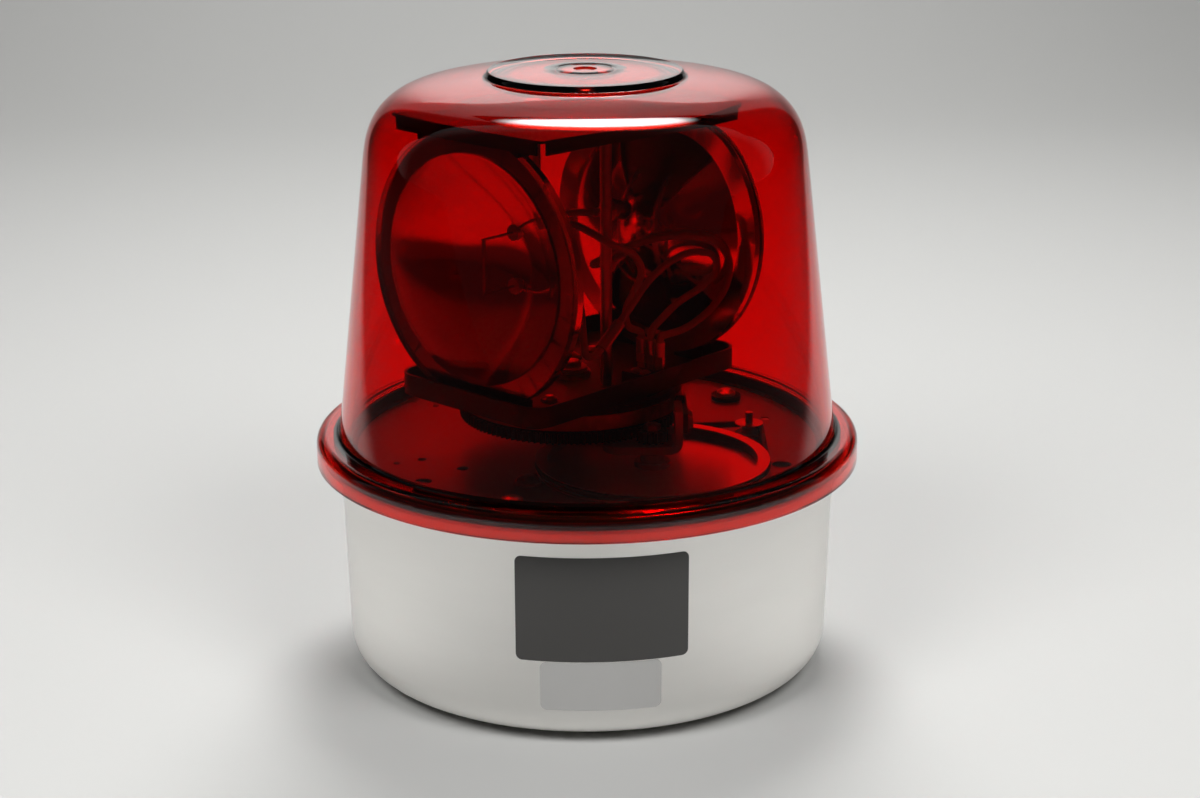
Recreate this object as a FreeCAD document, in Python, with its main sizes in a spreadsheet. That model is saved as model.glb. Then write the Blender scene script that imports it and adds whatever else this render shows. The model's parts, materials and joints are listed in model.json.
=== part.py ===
"""Rotating beacon: two sealed-beam lamps back to back on a geared turntable under a clear red dome.

The frame is in millimetres, +Z up, with the origin under the centre of the dome on the surface
that the beacon stands on. Every driving size is a cell of the sheet "Sizes". A motor under the
deck turns a belt wheel, a pinion on the wheel's spindle turns the ring gear of the turntable,
and the turntable carries the lamps round a fixed centre post.
"""
import FreeCAD
import Part

import math
import os
import re

import Sketcher

Vector = FreeCAD.Vector
Rotation = FreeCAD.Rotation
Placement = FreeCAD.Placement

DIMENSIONS = [
    # housing
    ("base_pad_height", 2.4, "rubber pad under the cup"),
    ("base_pad_inset", 2.0, "rubber pad inside the cup's flat bottom"),
    ("base_pad_width", 28.0, "width of the rubber pad"),
    ("cup_draft", 2.8, "the cup is this much wider at its rim than above its bend"),
    ("cup_bend", 14.0, "outside radius of the bottom bend"),
    ("cup_wall", 2.0, "drawn aluminium"),
    ("rim_height", 95.9, "top of the cup's rim"),
    ("rim_width", 5.5, "flange of the cup's rim"),
    ("rim_play", 1.0, "cup's rim to the skirt of the dome"),
    ("entry_radius", 11.1, "cable entry hole in the cup's bottom"),
    ("bolt_circle", 140.0, "mounting hole circle diameter"),
    ("bolt_hole_radius", 3.3, "mounting holes"),
    ("bolt_count", 4, "mounting holes"),
    ("deck_thickness", 1.6, "deck plate"),
    ("seal_height", 2.6, "flat part of the dome seal"),
    ("seal_lip", 0.5, "thin inner lip of the dome seal"),
    ("seal_lip_width", 2.4, "thin inner lip of the dome seal"),
    ("seal_bead_width", 1.8, "bead inside the dome's foot"),
    ("seal_inset", 3.3, "deck and seal inside the cup's rim"),
    ("seal_bead", 2.4, "height of the bead inside the dome's foot"),
    ("fit_gap", 0.3, "clearance between neighbouring pieces"),
    # dome
    ("dome_wall", 3.0, "moulded dome"),
    ("dome_flange_radius", 114.3, "outside of the dome's flange"),
    ("dome_flange_bend", 4.4, "rounding of the flange's outer edge"),
    ("dome_flange_width", 9.8, "flange outside the dome's wall"),
    ("dome_skirt", 11.9, "height of the flange's skirt"),
    ("dome_foot_fillet", 1.6, "fillet between wall and flange"),
    ("dome_draft", 16.1, "the dome's wall leans in by this much"),
    ("crown_rise", 8.9, "rise of the crown inside the wall's end"),
    ("dome_apex_height", 150.6, "crown above the flange"),
    ("dome_shoulder", 26.2, "rounding of wall into crown"),
    ("disc_radius", 40.4, "raised disc on the crown"),
    ("disc_height", 2.4, "raised disc on the crown"),
    ("lug_angle", 15.0, "arc of a dome lug, degrees"),
    ("lug_reach", 3.4, "how far a lug reaches under the rim"),
    ("lug_height", 2.0, "thickness of a lug"),
    # places of the three vertical axes
    ("rotor_x", -6.4, "centre post"),
    ("rotor_y", -3.6, "centre post"),
    ("wheel_x", 26.4, "belt wheel spindle"),
    ("wheel_y", -44.0, "belt wheel spindle"),
    ("motor_x", 68.9, "motor shaft"),
    ("motor_y", 1.0, "motor shaft"),
    # belt drive
    ("wheel_radius", 47.3, "belt wheel"),
    ("wheel_lift", 0.8, "wheel above the deck"),
    ("wheel_web", 1.2, "web and lower flange of the wheel"),
    ("wheel_lip", 3.5, "lip above the web"),
    ("groove_depth", 3.2, "V groove of the wheel"),
    ("groove_floor", 1.2, "width of the V groove at its floor"),
    ("groove_mouth", 3.8, "width of the V groove at its mouth"),
    ("belt_sink", 0.96, "belt centre inside the rim of its pulley"),
    ("belt_radius", 1.3, "round belt"),
    ("pulley_radius", 6.0, "motor pulley"),
    ("shaft_radius", 1.6, "motor shaft"),
    ("shaft_tip", 4.6, "motor shaft above the pulley"),
    ("run_gap", 0.05, "radial running clearance"),
    # gear pair
    ("gear_module", 0.8, "tooth module"),
    ("gear_teeth", 116, "ring gear"),
    ("pinion_teeth", 14, "pinion"),
    ("gear_backlash", 0.16, "thinning of each tooth"),
    ("gear_addendum", 0.66, "shortened teeth of the ring gear"),
    ("gear_width", 4.4, "ring gear face"),
    ("pinion_width", 4.8, "pinion face"),
    # spindle, bracket and post
    ("spindle_flange", 7.3, "flange clamping the wheel"),
    ("spindle_flange_height", 2.0, "flange clamping the wheel"),
    ("spindle_boss", 5.0, "spindle between flange and bracket"),
    ("spindle_radius", 3.0, "spindle journal in the bracket"),
    ("pinion_seat", 2.5, "spindle under the pinion and in the deck"),
    ("bracket_lift", 8.9, "underside of the spindle bracket above the deck"),
    ("bracket_thickness", 3.2, "bracket strip"),
    ("bracket_width", 16.0, "bracket strip"),
    ("bracket_left", 20.0, "strip left of the spindle"),
    ("bracket_right", 7.0, "strip right of the spindle, up to the bend"),
    ("bracket_bend", 5.0, "outside radius of the bend"),
    ("bracket_leg", 18.0, "height of the upright leg"),
    ("bracket_hub", 9.0, "bracket eye round the post"),
    ("post_radius", 4.0, "centre post"),
    ("post_collar", 5.4, "collar under the bracket"),
    ("post_collar_height", 2.8, "collar under the bracket"),
    ("post_thread", 3.0, "threaded foot of the post"),
    ("post_nut_flats", 10.0, "nut under the deck"),
    ("post_nut_height", 5.0, "nut under the deck"),
    ("post_washer", 1.4, "washer under the deck"),
    ("bush_wall", 2.4, "bronze bushes"),
    ("thrust_washer", 0.6, "washer under the turntable"),
    # turntable
    ("drum_radius", 45.6, "drum above the ring gear"),
    ("drum_height", 14.2, "gear and drum together"),
    ("drum_floor", 3.0, "web of the drum"),
    ("drum_wall", 3.4, "rim of the drum"),
    ("drum_hub", 12.0, "hub round the bush"),
    ("ring_thickness", 0.9, "slip ring"),
    ("ring_height", 6.0, "slip ring"),
    ("ring_drop", 2.6, "slip ring below the drum's top"),
    ("pan_sheet", 1.2, "lamp pans"),
    ("pan_half_width", 40.5, "lower pan, half of its width"),
    ("pan_reach", 4.8, "lower pan beyond the lens rims"),
    ("pan_lip", 8.7, "height of the lower pan"),
    ("pan_corner", 9.0, "corner radius of the lower pan"),
    ("cap_reach", 1.2, "upper pan beyond the lens rims"),
    ("cap_overlap", 1.2, "upper pan wider than the lower pan"),
    ("cap_lip", 5.6, "height of the upper pan"),
    ("cap_sheet", 1.0, "upper pan sheet"),
    ("cap_corner", 3.0, "open corner between the lips"),
    ("rod_radius", 2.4, "tie rods between the pans"),
    ("rod_offset", 20.0, "tie rods from the turning axis"),
    ("rotor_angle", 43.3, "heading of the lamps at rest, degrees"),
    # sealed-beam lamps
    ("lamp_radius", 56.1, "outside of the glass rim"),
    ("lamp_rim", 6.0, "thickness of the glass rim"),
    ("lamp_face", 57.7, "lens rim from the turning axis"),
    ("mirror_radius", 46.8, "mouth of the mirror"),
    ("mirror_depth", 24.0, "depth of the mirror"),
    ("glass_wall", 3.0, "pressed glass"),
    ("lens_rise", 9.0, "bulge of the lens"),
    ("terminal_pitch", 22.0, "lamp terminals, centre to centre"),
    ("terminal_radius", 3.2, "lamp terminal screws"),
    ("terminal_reach", 8.0, "lamp terminal behind its boss"),
    # motor
    ("motor_turn", -21.6, "heading of the motor, degrees"),
    ("stack_height", 19.0, "motor laminations"),
    ("stack_drop", 15.4, "laminations below the deck"),
    ("stack_front", 17.0, "laminations beyond the shaft"),
    ("stack_back", 46.0, "laminations behind the shaft"),
    ("stack_half_width", 28.0, "laminations"),
    ("core_width", 12.0, "limb that carries the coil"),
    ("window_length", 16.0, "window behind the coil's limb"),
    ("window_half_width", 15.0, "window behind the coil's limb"),
    ("armature_radius", 12.6, "motor rotor"),
    ("air_gap", 0.4, "motor rotor to laminations"),
    ("coil_thickness", 8.0, "motor winding"),
    ("coil_half_length", 12.6, "motor winding"),
    ("bobbin_wall", 1.2, "coil former"),
    ("motor_screw_pitch", 48.0, "motor screws, centre to centre"),
    ("motor_screw_radius", 1.8, "motor screws"),
    ("bridge_thickness", 2.0, "motor end bridges"),
    ("bridge_width", 13.0, "motor end bridges"),
    ("bridge_rise", 8.0, "rise of the end bridges above the laminations"),
    ("bearing_radius", 5.0, "motor bearings"),
    # leads
    ("lead_radius", 1.5, "lamp leads"),
    ("block_x", 31.0, "terminal block from the turning axis"),
    ("block_y", 12.0, "terminal block from the turning axis"),
    ("block_length", 15.6, "terminal block"),
    ("block_width", 12.0, "terminal block"),
    ("block_height", 5.2, "terminal block"),
    ("block_pitch", 5.0, "tabs of the terminal block"),
    ("block_screw", 1.45, "screws of the terminal block"),
]

# Sizes that follow from the ones above, each as an expression of their names.
DERIVED = {
    "rim_radius": "dome_flange_radius - dome_wall - rim_play",
    "cup_top_radius": "rim_radius - rim_width",
    "cup_bottom_radius": "cup_top_radius - cup_draft",
    "cup_foot_radius": "cup_bottom_radius - cup_bend",
    "base_pad_radius": "cup_foot_radius - base_pad_inset",
    "base_pad_bore": "base_pad_radius - base_pad_width",
    "deck_radius": "rim_radius - seal_inset",
    "seal_outer": "rim_radius - seal_inset",
    "dome_foot_radius": "dome_flange_radius - dome_flange_width",
    "seal_bead_outer": "dome_foot_radius - dome_wall - fit_gap",
    "seal_bead_inner": "seal_bead_outer - seal_bead_width",
    "seal_inner": "seal_bead_inner - seal_lip_width",
    "dome_corner_radius": "dome_foot_radius - dome_draft",
    "dome_corner_height": "dome_apex_height - crown_rise",
    "bracket_height": "rim_height + deck_thickness + bracket_lift",
    "pan_half_length": "lamp_face + pan_reach",
    "cap_half_length": "lamp_face + cap_reach",
    "cap_half_width": "pan_half_width + cap_overlap",
}

doc = FreeCAD.newDocument("RotatingBeacon")
sheet = doc.addObject("Spreadsheet::Sheet", "Sizes")
NAMES = set()
for row, (alias, value, meaning) in enumerate(DIMENSIONS, start=1):
    sheet.set("A%d" % row, alias)
    sheet.set("B%d" % row, str(value))
    sheet.setAlias("B%d" % row, alias)
    sheet.set("C%d" % row, meaning)
    NAMES.add(alias)
doc.recompute()

nodes = {}


# ---- helpers ------------------------------------------------------------------------------

def cells(expression):
    """The expression with each alias written as a cell of the sheet, and each derived size
    written out."""
    def one(word):
        name = word.group()
        if name in DERIVED:
            return "(" + cells(DERIVED[name]) + ")"
        return "Sizes." + name if name in NAMES else name
    return re.sub(r"(?<![A-Za-z0-9_.])[a-z][a-z0-9_]*", one, str(expression))


def size(expression):
    """The number that an expression of aliases gives now."""
    return float(sheet.evalExpression(cells(expression)))


def keep(label, feature):
    """Name a finished sub-part: the label is the name of its node."""
    feature.Label = label
    nodes[label] = feature
    return feature


def new_body(label, x=0, y=0, z=0, rotation=None):
    body = doc.addObject("PartDesign::Body", "Body")
    body.Label = label
    body.Placement = Placement(Vector(size(x), size(y), size(z)), rotation or Rotation())
    return body


def new_sketch(body, role, name, lift=0, turn=0, spin=0):
    """A sketch on one of the body's own planes; lift is along the plane's normal, turn is
    about the sketch's own Y axis and spin is in the plane, both in degrees."""
    sketch = body.newObject("Sketcher::SketchObject", name)
    plane = [feature for feature in body.Origin.OriginFeatures if feature.Role == role][0]
    sketch.AttachmentSupport = [(plane, "")]
    sketch.MapMode = "FlatFace"
    if turn != 0:
        sketch.AttachmentOffset = Placement(Vector(), Rotation(Vector(0, 1, 0), turn))
    if spin != 0:
        sketch.AttachmentOffset = Placement(Vector(), Rotation(Vector(0, 0, 1), spin))
    if lift != 0:
        sketch.setExpression("AttachmentOffset.Base.z", cells(lift))
    return sketch


def pin_point(sketch, geometry, position, x, y):
    """Hold a point at x, y, both bound to the sheet."""
    for kind, expression in (("DistanceX", x), ("DistanceY", y)):
        index = sketch.addConstraint(
            Sketcher.Constraint(kind, -1, 1, geometry, position, size(expression)))
        sketch.setExpression("Constraints[%d]" % index, cells(expression))


def arc_through(start, end, radius, side):
    """An arc from start to end; side is +1 where its centre lies left of the chord."""
    chord = end - start
    half = chord.Length / 2
    height = math.sqrt(max(radius * radius - half * half, 0))
    left = Vector(-chord.y, chord.x, 0).normalize()
    centre = (start + end) / 2 + left * (height * side)
    middle = centre - left * (radius * side)
    return Part.Arc(start, middle, end)


def outline(sketch, path):
    """A closed outline. Each entry is (x, y), or (x, y, radius, side) where the stretch that
    ends there is an arc."""
    points = [Vector(size(entry[0]), size(entry[1]), 0) for entry in path]
    arcs = []
    for index, entry in enumerate(path):
        start = points[index - 1]
        end = points[index]
        if len(entry) == 2:
            sketch.addGeometry(Part.LineSegment(start, end), False)
            arcs.append(0)
        else:
            sketch.addGeometry(arc_through(start, end, size(entry[2]), entry[3]), False)
            arcs.append(entry[3])
    count = len(path)
    for index in range(count):
        end_position = 1 if arcs[index] < 0 else 2
        following = (index + 1) % count
        start_position = 2 if arcs[following] < 0 else 1
        sketch.addConstraint(
            Sketcher.Constraint("Coincident", index, end_position, following, start_position))
    for index, entry in enumerate(path):
        end_position = 1 if arcs[index] < 0 else 2
        pin_point(sketch, index, end_position, entry[0], entry[1])
        if len(entry) > 2:
            where = sketch.addConstraint(Sketcher.Constraint("Radius", index, size(entry[2])))
            sketch.setExpression("Constraints[%d]" % where, cells(entry[2]))


def circles(sketch, rounds):
    """Circles given as (x, y, radius)."""
    for x, y, radius in rounds:
        index = sketch.addGeometry(
            Part.Circle(Vector(size(x), size(y), 0), Vector(0, 0, 1), size(radius)), False)
        pin_point(sketch, index, 3, x, y)
        where = sketch.addConstraint(Sketcher.Constraint("Radius", index, size(radius)))
        sketch.setExpression("Constraints[%d]" % where, cells(radius))


def rectangle(x_low, y_low, x_high, y_high):
    return [(x_low, y_low), (x_high, y_low), (x_high, y_high), (x_low, y_high)]


def turn_about(body, sketch, kind="PartDesign::Revolution", angle=360, both_ways=False):
    """Revolve a sketch about the body's own Z axis."""
    feature = body.newObject(kind, "Turned")
    feature.Profile = sketch
    feature.ReferenceAxis = (sketch, ["V_Axis"])
    if isinstance(angle, str):
        feature.Angle = size(angle)
        feature.setExpression("Angle", cells(angle))
    else:
        feature.Angle = angle
    feature.Midplane = both_ways
    sketch.Visibility = False
    return feature


def turned(label, path, x=0, y=0, z=0, rotation=None):
    """A turned piece: its half section (radius, height) revolved about its own axis."""
    body = new_body(label, x, y, z, rotation)
    sketch = new_sketch(body, "XZ_Plane", "HalfSection")
    outline(sketch, path)
    turn_about(body, sketch)
    return body


def tube(label, inner, outer, low, high, x=0, y=0, z=0):
    """A plain ring or bush."""
    return turned(label, rectangle(inner, low, outer, high), x, y, z)


def pad(body, sketch, length, reverse=False, both_ways=False):
    feature = body.newObject("PartDesign::Pad", "Pad")
    feature.Profile = sketch
    feature.Length = size(length)
    feature.setExpression("Length", cells(length))
    feature.Reversed = reverse
    feature.Midplane = both_ways
    return feature


def pocket(body, sketch, through=True, length=None, reverse=False):
    """Cut a sketch out of the body, and check that something was cut."""
    doc.recompute()
    before = body.Tip.Shape.Volume
    feature = body.newObject("PartDesign::Pocket", "Pocket")
    feature.Profile = sketch
    if through:
        feature.Type = "ThroughAll"
        feature.Midplane = True
    else:
        feature.Length = size(length)
        feature.setExpression("Length", cells(length))
        feature.Reversed = reverse
    doc.recompute()
    if feature.Shape.Volume >= before - 1e-6:
        raise RuntimeError("a pocket of %s cut nothing" % body.Label)
    return feature


def round_edges(body, radius, wanted, kind="PartDesign::Fillet"):
    """Fillet the edges of the body's tip that the test picks."""
    doc.recompute()
    tip = body.Tip
    names = []
    for index, edge in enumerate(tip.Shape.Edges, start=1):
        if not edge.Degenerated and wanted(edge):
            names.append("Edge%d" % index)
    if not names:
        raise RuntimeError("no edge of %s was picked" % body.Label)
    feature = body.newObject(kind, "Rounding")
    feature.Base = (tip, names)
    if kind == "PartDesign::Fillet":
        feature.Radius = size(radius)
        feature.setExpression("Radius", cells(radius))
    else:
        feature.Size = size(radius)
        feature.setExpression("Size", cells(radius))
    doc.recompute()
    return feature


def ring_edge(radius, height):
    """A test that picks a circular edge by its radius and height."""
    def wanted(edge):
        curve = edge.Curve
        if not isinstance(curve, Part.Circle):
            return False
        return abs(curve.Radius - radius) < 0.02 and abs(curve.Center.z - height) < 0.02
    return wanted


def upright_edge(edge):
    """A test that picks straight edges parallel to Z."""
    if not isinstance(edge.Curve, Part.Line):
        return False
    low, high = edge.Vertexes[0].Point, edge.Vertexes[1].Point
    return abs(low.x - high.x) < 1e-6 and abs(low.y - high.y) < 1e-6


def around(body, feature, count):
    """Repeat a feature round the body's Z axis."""
    pattern = body.newObject("PartDesign::PolarPattern", "Around")
    pattern.Originals = [feature]
    axis = [item for item in body.Origin.OriginFeatures if item.Role == "Z_Axis"][0]
    pattern.Axis = (axis, [""])
    pattern.Angle = 360
    pattern.Occurrences = int(size(count))
    pattern.setExpression("Occurrences", cells(count))
    body.Tip = pattern
    doc.recompute()
    return pattern


def group(label, members):
    """Several separate pieces that share one node."""
    compound = doc.addObject("Part::Compound", "Group")
    compound.Links = members
    return keep(label, compound)


def solid_feature(label, shape, place=None):
    """A sub-part whose shape only Part's own functions make."""
    feature = doc.addObject("Part::Feature", "Feature")
    feature.Shape = shape
    feature.Placement = place or Placement()
    return keep(label, feature)


# ---- heights that several sub-parts share ---------------------------------------------------

DECK_TOP = "(rim_height + deck_thickness)"
FLANGE_LOW = "(rim_height + deck_thickness + seal_height)"
FLANGE_TOP = "(rim_height + deck_thickness + seal_height + dome_wall)"
WHEEL_LOW = "(rim_height + deck_thickness + wheel_lift)"
WEB_TOP = "(rim_height + deck_thickness + wheel_lift + wheel_web)"
BRACKET_TOP = "(bracket_height + bracket_thickness)"
GEAR_LOW = "(bracket_height + bracket_thickness + thrust_washer + 0.2)"
DRUM_TOP = "(bracket_height + bracket_thickness + thrust_washer + 0.2 + drum_height)"
PAN_TOP = "(bracket_height + bracket_thickness + thrust_washer + 0.2 + drum_height + pan_sheet)"
LAMP_MID = PAN_TOP[:-1] + " + lamp_radius)"
CAP_LOW = PAN_TOP[:-1] + " + 2 * lamp_radius)"
CAP_TOP = PAN_TOP[:-1] + " + 2 * lamp_radius + cap_sheet)"

ROTOR = ("rotor_x", "rotor_y")
WHEEL = ("wheel_x", "wheel_y")
MOTOR = ("motor_x", "motor_y")


def heading():
    """Rotation of the turntable at rest: its own -Y axis looks out of the first lamp."""
    return Rotation(Vector(0, 0, 1), -size("rotor_angle"))


def turntable_place(x=0, y=0, z=0, rotation=None):
    """Placement of something given in the turntable's own axes."""
    own = Placement(Vector(size(x), size(y), size(z)), rotation or Rotation())
    carrier = Placement(Vector(size("rotor_x"), size("rotor_y"), 0), heading())
    return carrier.multiply(own)


def motor_place(x=0, y=0, z=0, rotation=None):
    """Placement of something given in the motor's own axes."""
    own = Placement(Vector(size(x), size(y), size(z)), rotation or Rotation())
    turn = Rotation(Vector(0, 0, 1), size("motor_turn"))
    carrier = Placement(Vector(size("motor_x"), size("motor_y"), 0), turn)
    return carrier.multiply(own)


def rounded(half_x, half_y, radius):
    """A rectangle with round corners, centred on the origin."""
    return [
        ("-(%s) + %s" % (half_x, radius), "-(%s)" % half_y, radius, 1),
        ("%s - (%s)" % (half_x, radius), "-(%s)" % half_y),
        (half_x, "-(%s) + %s" % (half_y, radius), radius, 1),
        (half_x, "%s - (%s)" % (half_y, radius)),
        ("%s - (%s)" % (half_x, radius), half_y, radius, 1),
        ("-(%s) + %s" % (half_x, radius), half_y),
        ("-(%s)" % half_x, "%s - (%s)" % (half_y, radius), radius, 1),
        ("-(%s)" % half_x, "-(%s) + %s" % (half_y, radius)),
    ]


def hexagon(flats):
    """A hexagon over its flats."""
    corner = "(%s) / 2 / cos(30 deg)" % flats
    points = []
    for step in range(6):
        points.append(("%s * cos(%d deg)" % (corner, 60 * step),
                       "%s * sin(%d deg)" % (corner, 60 * step)))
    return points


def nut(label, flats, bore, height, x=0, y=0, z=0):
    """A hexagon nut."""
    body = new_body(label, x, y, z)
    sketch = new_sketch(body, "XY_Plane", "Hexagon")
    outline(sketch, hexagon(flats))
    circles(sketch, [(0, 0, bore)])
    pad(body, sketch, height)
    return body


def round_screw(label, shank, length, head, head_height, x=0, y=0, z=0):
    """A screw with a domed head; z is the underside of the head, the shank points down."""
    return turned(label, [(0, "-(%s)" % length), (shank, "-(%s)" % length), (shank, 0),
                          (head, 0), (head, "(%s) / 2" % head_height),
                          ("(%s) / 2" % head, head_height), (0, head_height)], x, y, z)


# ---- housing ------------------------------------------------------------------------------

def make_base_pad():
    body = new_body("base_pad")
    sketch = new_sketch(body, "XY_Plane", "Ring")
    circles(sketch, [(0, 0, "base_pad_radius"), (0, 0, "base_pad_bore")])
    pad(body, sketch, "base_pad_height")
    holes = new_sketch(body, "XY_Plane", "BoltHole")
    circles(holes, [("bolt_circle / 2", 0, "bolt_hole_radius")])
    around(body, pocket(body, holes), "bolt_count")
    keep("base_pad", body)


def make_base_cup():
    low = "base_pad_height"
    body = turned("base_cup", [
        ("entry_radius", low),
        ("cup_foot_radius", low),
        ("cup_bottom_radius", "base_pad_height + cup_bend", "cup_bend", 1),
        ("cup_top_radius", "rim_height - cup_wall"),
        ("rim_radius", "rim_height - cup_wall"),
        ("rim_radius", "rim_height"),
        ("cup_top_radius - cup_wall", "rim_height"),
        ("cup_bottom_radius - cup_wall", "base_pad_height + cup_bend"),
        ("cup_foot_radius", "base_pad_height + cup_wall", "cup_bend - cup_wall", -1),
        ("entry_radius", "base_pad_height + cup_wall"),
    ])
    holes = new_sketch(body, "XY_Plane", "BoltHole")
    circles(holes, [("bolt_circle / 2", 0, "bolt_hole_radius")])
    around(body, pocket(body, holes), "bolt_count")
    notch = new_sketch(body, "XZ_Plane", "LugNotch", turn=60)
    outline(notch, rectangle("rim_radius - lug_reach + fit_gap", "rim_height - 2 * cup_wall",
                             "rim_radius + cup_wall", "rim_height + cup_wall"))
    cut = turn_about(body, notch, "PartDesign::Groove", "lug_angle + 5", both_ways=True)
    around(body, cut, 3)
    keep("base_cup", body)


def make_dome():
    flange = FLANGE_LOW
    top = FLANGE_TOP
    crown = "((dome_apex_height - dome_corner_height)^2 + dome_corner_radius^2)" \
            " / (2 * (dome_apex_height - dome_corner_height))"
    skirt_low = "(rim_height + deck_thickness + seal_height + dome_wall - dome_skirt)"
    inner_corner = "(dome_corner_radius - dome_wall)"
    inner_crown = "((dome_apex_height - dome_corner_height)^2 + %s^2)" \
                  " / (2 * (dome_apex_height - dome_corner_height))" % inner_corner
    body = turned("dome_lens", [
        ("dome_foot_radius - dome_wall", flange),
        ("dome_flange_radius - dome_wall", flange),
        ("dome_flange_radius - dome_wall", skirt_low),
        ("dome_flange_radius", skirt_low),
        ("dome_flange_radius", top),
        ("dome_foot_radius", top),
        ("dome_corner_radius", "%s + dome_corner_height" % top),
        (0, "%s + dome_apex_height" % top, crown, 1),
        (0, "%s + dome_apex_height - dome_wall" % top),
        (inner_corner, "%s + dome_corner_height - dome_wall" % top, inner_crown, -1),
    ])
    round_edges(body, "dome_flange_bend", ring_edge(size("dome_flange_radius"), size(top)))
    round_edges(body, "dome_foot_fillet", ring_edge(size("dome_foot_radius"), size(top)))
    round_edges(body, "dome_shoulder",
                ring_edge(size("dome_corner_radius"), size(top) + size("dome_corner_height")))
    round_edges(body, "dome_shoulder - dome_wall",
                ring_edge(size(inner_corner),
                          size(top) + size("dome_corner_height") - size("dome_wall")))
    disc = new_sketch(body, "XY_Plane", "Disc", lift="%s + dome_apex_height - dome_wall" % top)
    circles(disc, [(0, 0, "disc_radius")])
    pad(body, disc, "dome_wall + disc_height - 1.5")
    lug = new_sketch(body, "XZ_Plane", "Lug")
    lug_top = "rim_height - cup_wall - fit_gap"
    outline(lug, rectangle("rim_radius - lug_reach + 1", "%s - lug_height" % lug_top,
                           "dome_flange_radius - dome_wall + 0.5", lug_top))
    around(body, turn_about(body, lug, "PartDesign::Revolution", "lug_angle", both_ways=True), 3)
    keep("dome_lens", body)


def make_deck():
    body = new_body("deck_plate", z="rim_height")
    sketch = new_sketch(body, "XY_Plane", "Plate")
    bush = "pinion_seat + run_gap + bush_wall"
    circles(sketch, [
        (0, 0, "deck_radius"),
        ("rotor_x", "rotor_y", "post_thread + run_gap"),
        ("wheel_x", "wheel_y", bush),
        ("motor_x", "motor_y", 4.5),
        (-29.3, -82.0, 2.1), (62.4, 52.6, 4.1), (-27.9, 76.7, 2.1), (-23.7, -60.1, 2.1),
        (79.1, -38.4, 4.0), (-68.0, -29.4, 1.8), (-77.9, -34.3, 1.5), (-65.5, -56.9, 3.4),
        (-50.7, -41.1, 2.4), (-67.1, 44.0, 1.5), (-17.0, 12.0, 4.0),
    ])
    pad(body, sketch, "deck_thickness")
    screws = new_sketch(body, "XY_Plane", "MotorScrews")
    for sign in (-1, 1):
        circles(screws, [
            ("motor_x - %d * motor_screw_pitch / 2 * sin(motor_turn * 1 deg)" % sign,
             "motor_y + %d * motor_screw_pitch / 2 * cos(motor_turn * 1 deg)" % sign,
             "motor_screw_radius + 0.2"),
        ])
    pocket(body, screws)
    keep("deck_plate", body)


def make_seal():
    top = "seal_height + seal_bead"
    keep("dome_seal", turned("dome_seal", [
        ("seal_inner", 0), ("seal_outer", 0), ("seal_outer", "seal_height"),
        ("seal_bead_outer", "seal_height"), ("seal_bead_outer", top), ("seal_bead_inner", top),
        ("seal_bead_inner", "seal_lip"), ("seal_inner", "seal_lip")], z=DECK_TOP))


DECK_SCREWS = [(-29.3, -82.0, 0), (62.4, 52.6, 2.0), (-27.9, 76.7, 0)]


def make_deck_fixing():
    brackets = []
    screws = []
    for x, y, lift in DECK_SCREWS:
        reach = math.hypot(x, y)
        turn = Rotation(Vector(0, 0, 1), math.degrees(math.atan2(y, x)))
        body = new_body("bracket", z="rim_height", rotation=turn)
        sketch = new_sketch(body, "XZ_Plane", "Profile")
        outline(sketch, [(reach - 8, -1.6), (100.2, -1.6), (100.2, -18), (101.8, -18),
                         (101.8, 0), (reach - 8, 0)])
        pad(body, sketch, 14, both_ways=True)
        hole = new_sketch(body, "XY_Plane", "Hole")
        circles(hole, [(reach, 0, 2.05)])
        pocket(body, hole)
        brackets.append(body)
        screws.append(round_screw("screw", 2.0, "%s + 6" % lift, 4.2, 2.6, x, y,
                                  "%s + %s" % (DECK_TOP, lift)))
    group("deck_brackets", brackets)
    group("deck_screws", screws)
    keep("deck_grommet", turned("deck_grommet", [
        (2.05, 0), (4.0, 0), (4.0, "deck_thickness"), (6.6, "deck_thickness"),
        (6.6, "deck_thickness + 2"), (2.05, "deck_thickness + 2")], 62.4, 52.6, "rim_height"))
    group("ground_screw", [
        round_screw("screw", 2.0, 7, 4.4, 2.8, -23.7, -60.1, "%s + 0.8" % DECK_TOP),
        tube("washer", 2.05, 5.4, 0, 0.8, -23.7, -60.1, DECK_TOP)])


def make_cable_grommet():
    keep("cable_grommet", turned("cable_grommet", [
        (5.0, -2.0), (13.6, -2.0), (13.6, 0), ("entry_radius - run_gap", 0),
        ("entry_radius - run_gap", "cup_wall"), (14.2, "cup_wall"),
        (12.6, "cup_wall + 3"), (5.0, "cup_wall + 3")], z="base_pad_height"))


# ---- post, bracket and belt drive -----------------------------------------------------------

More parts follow.
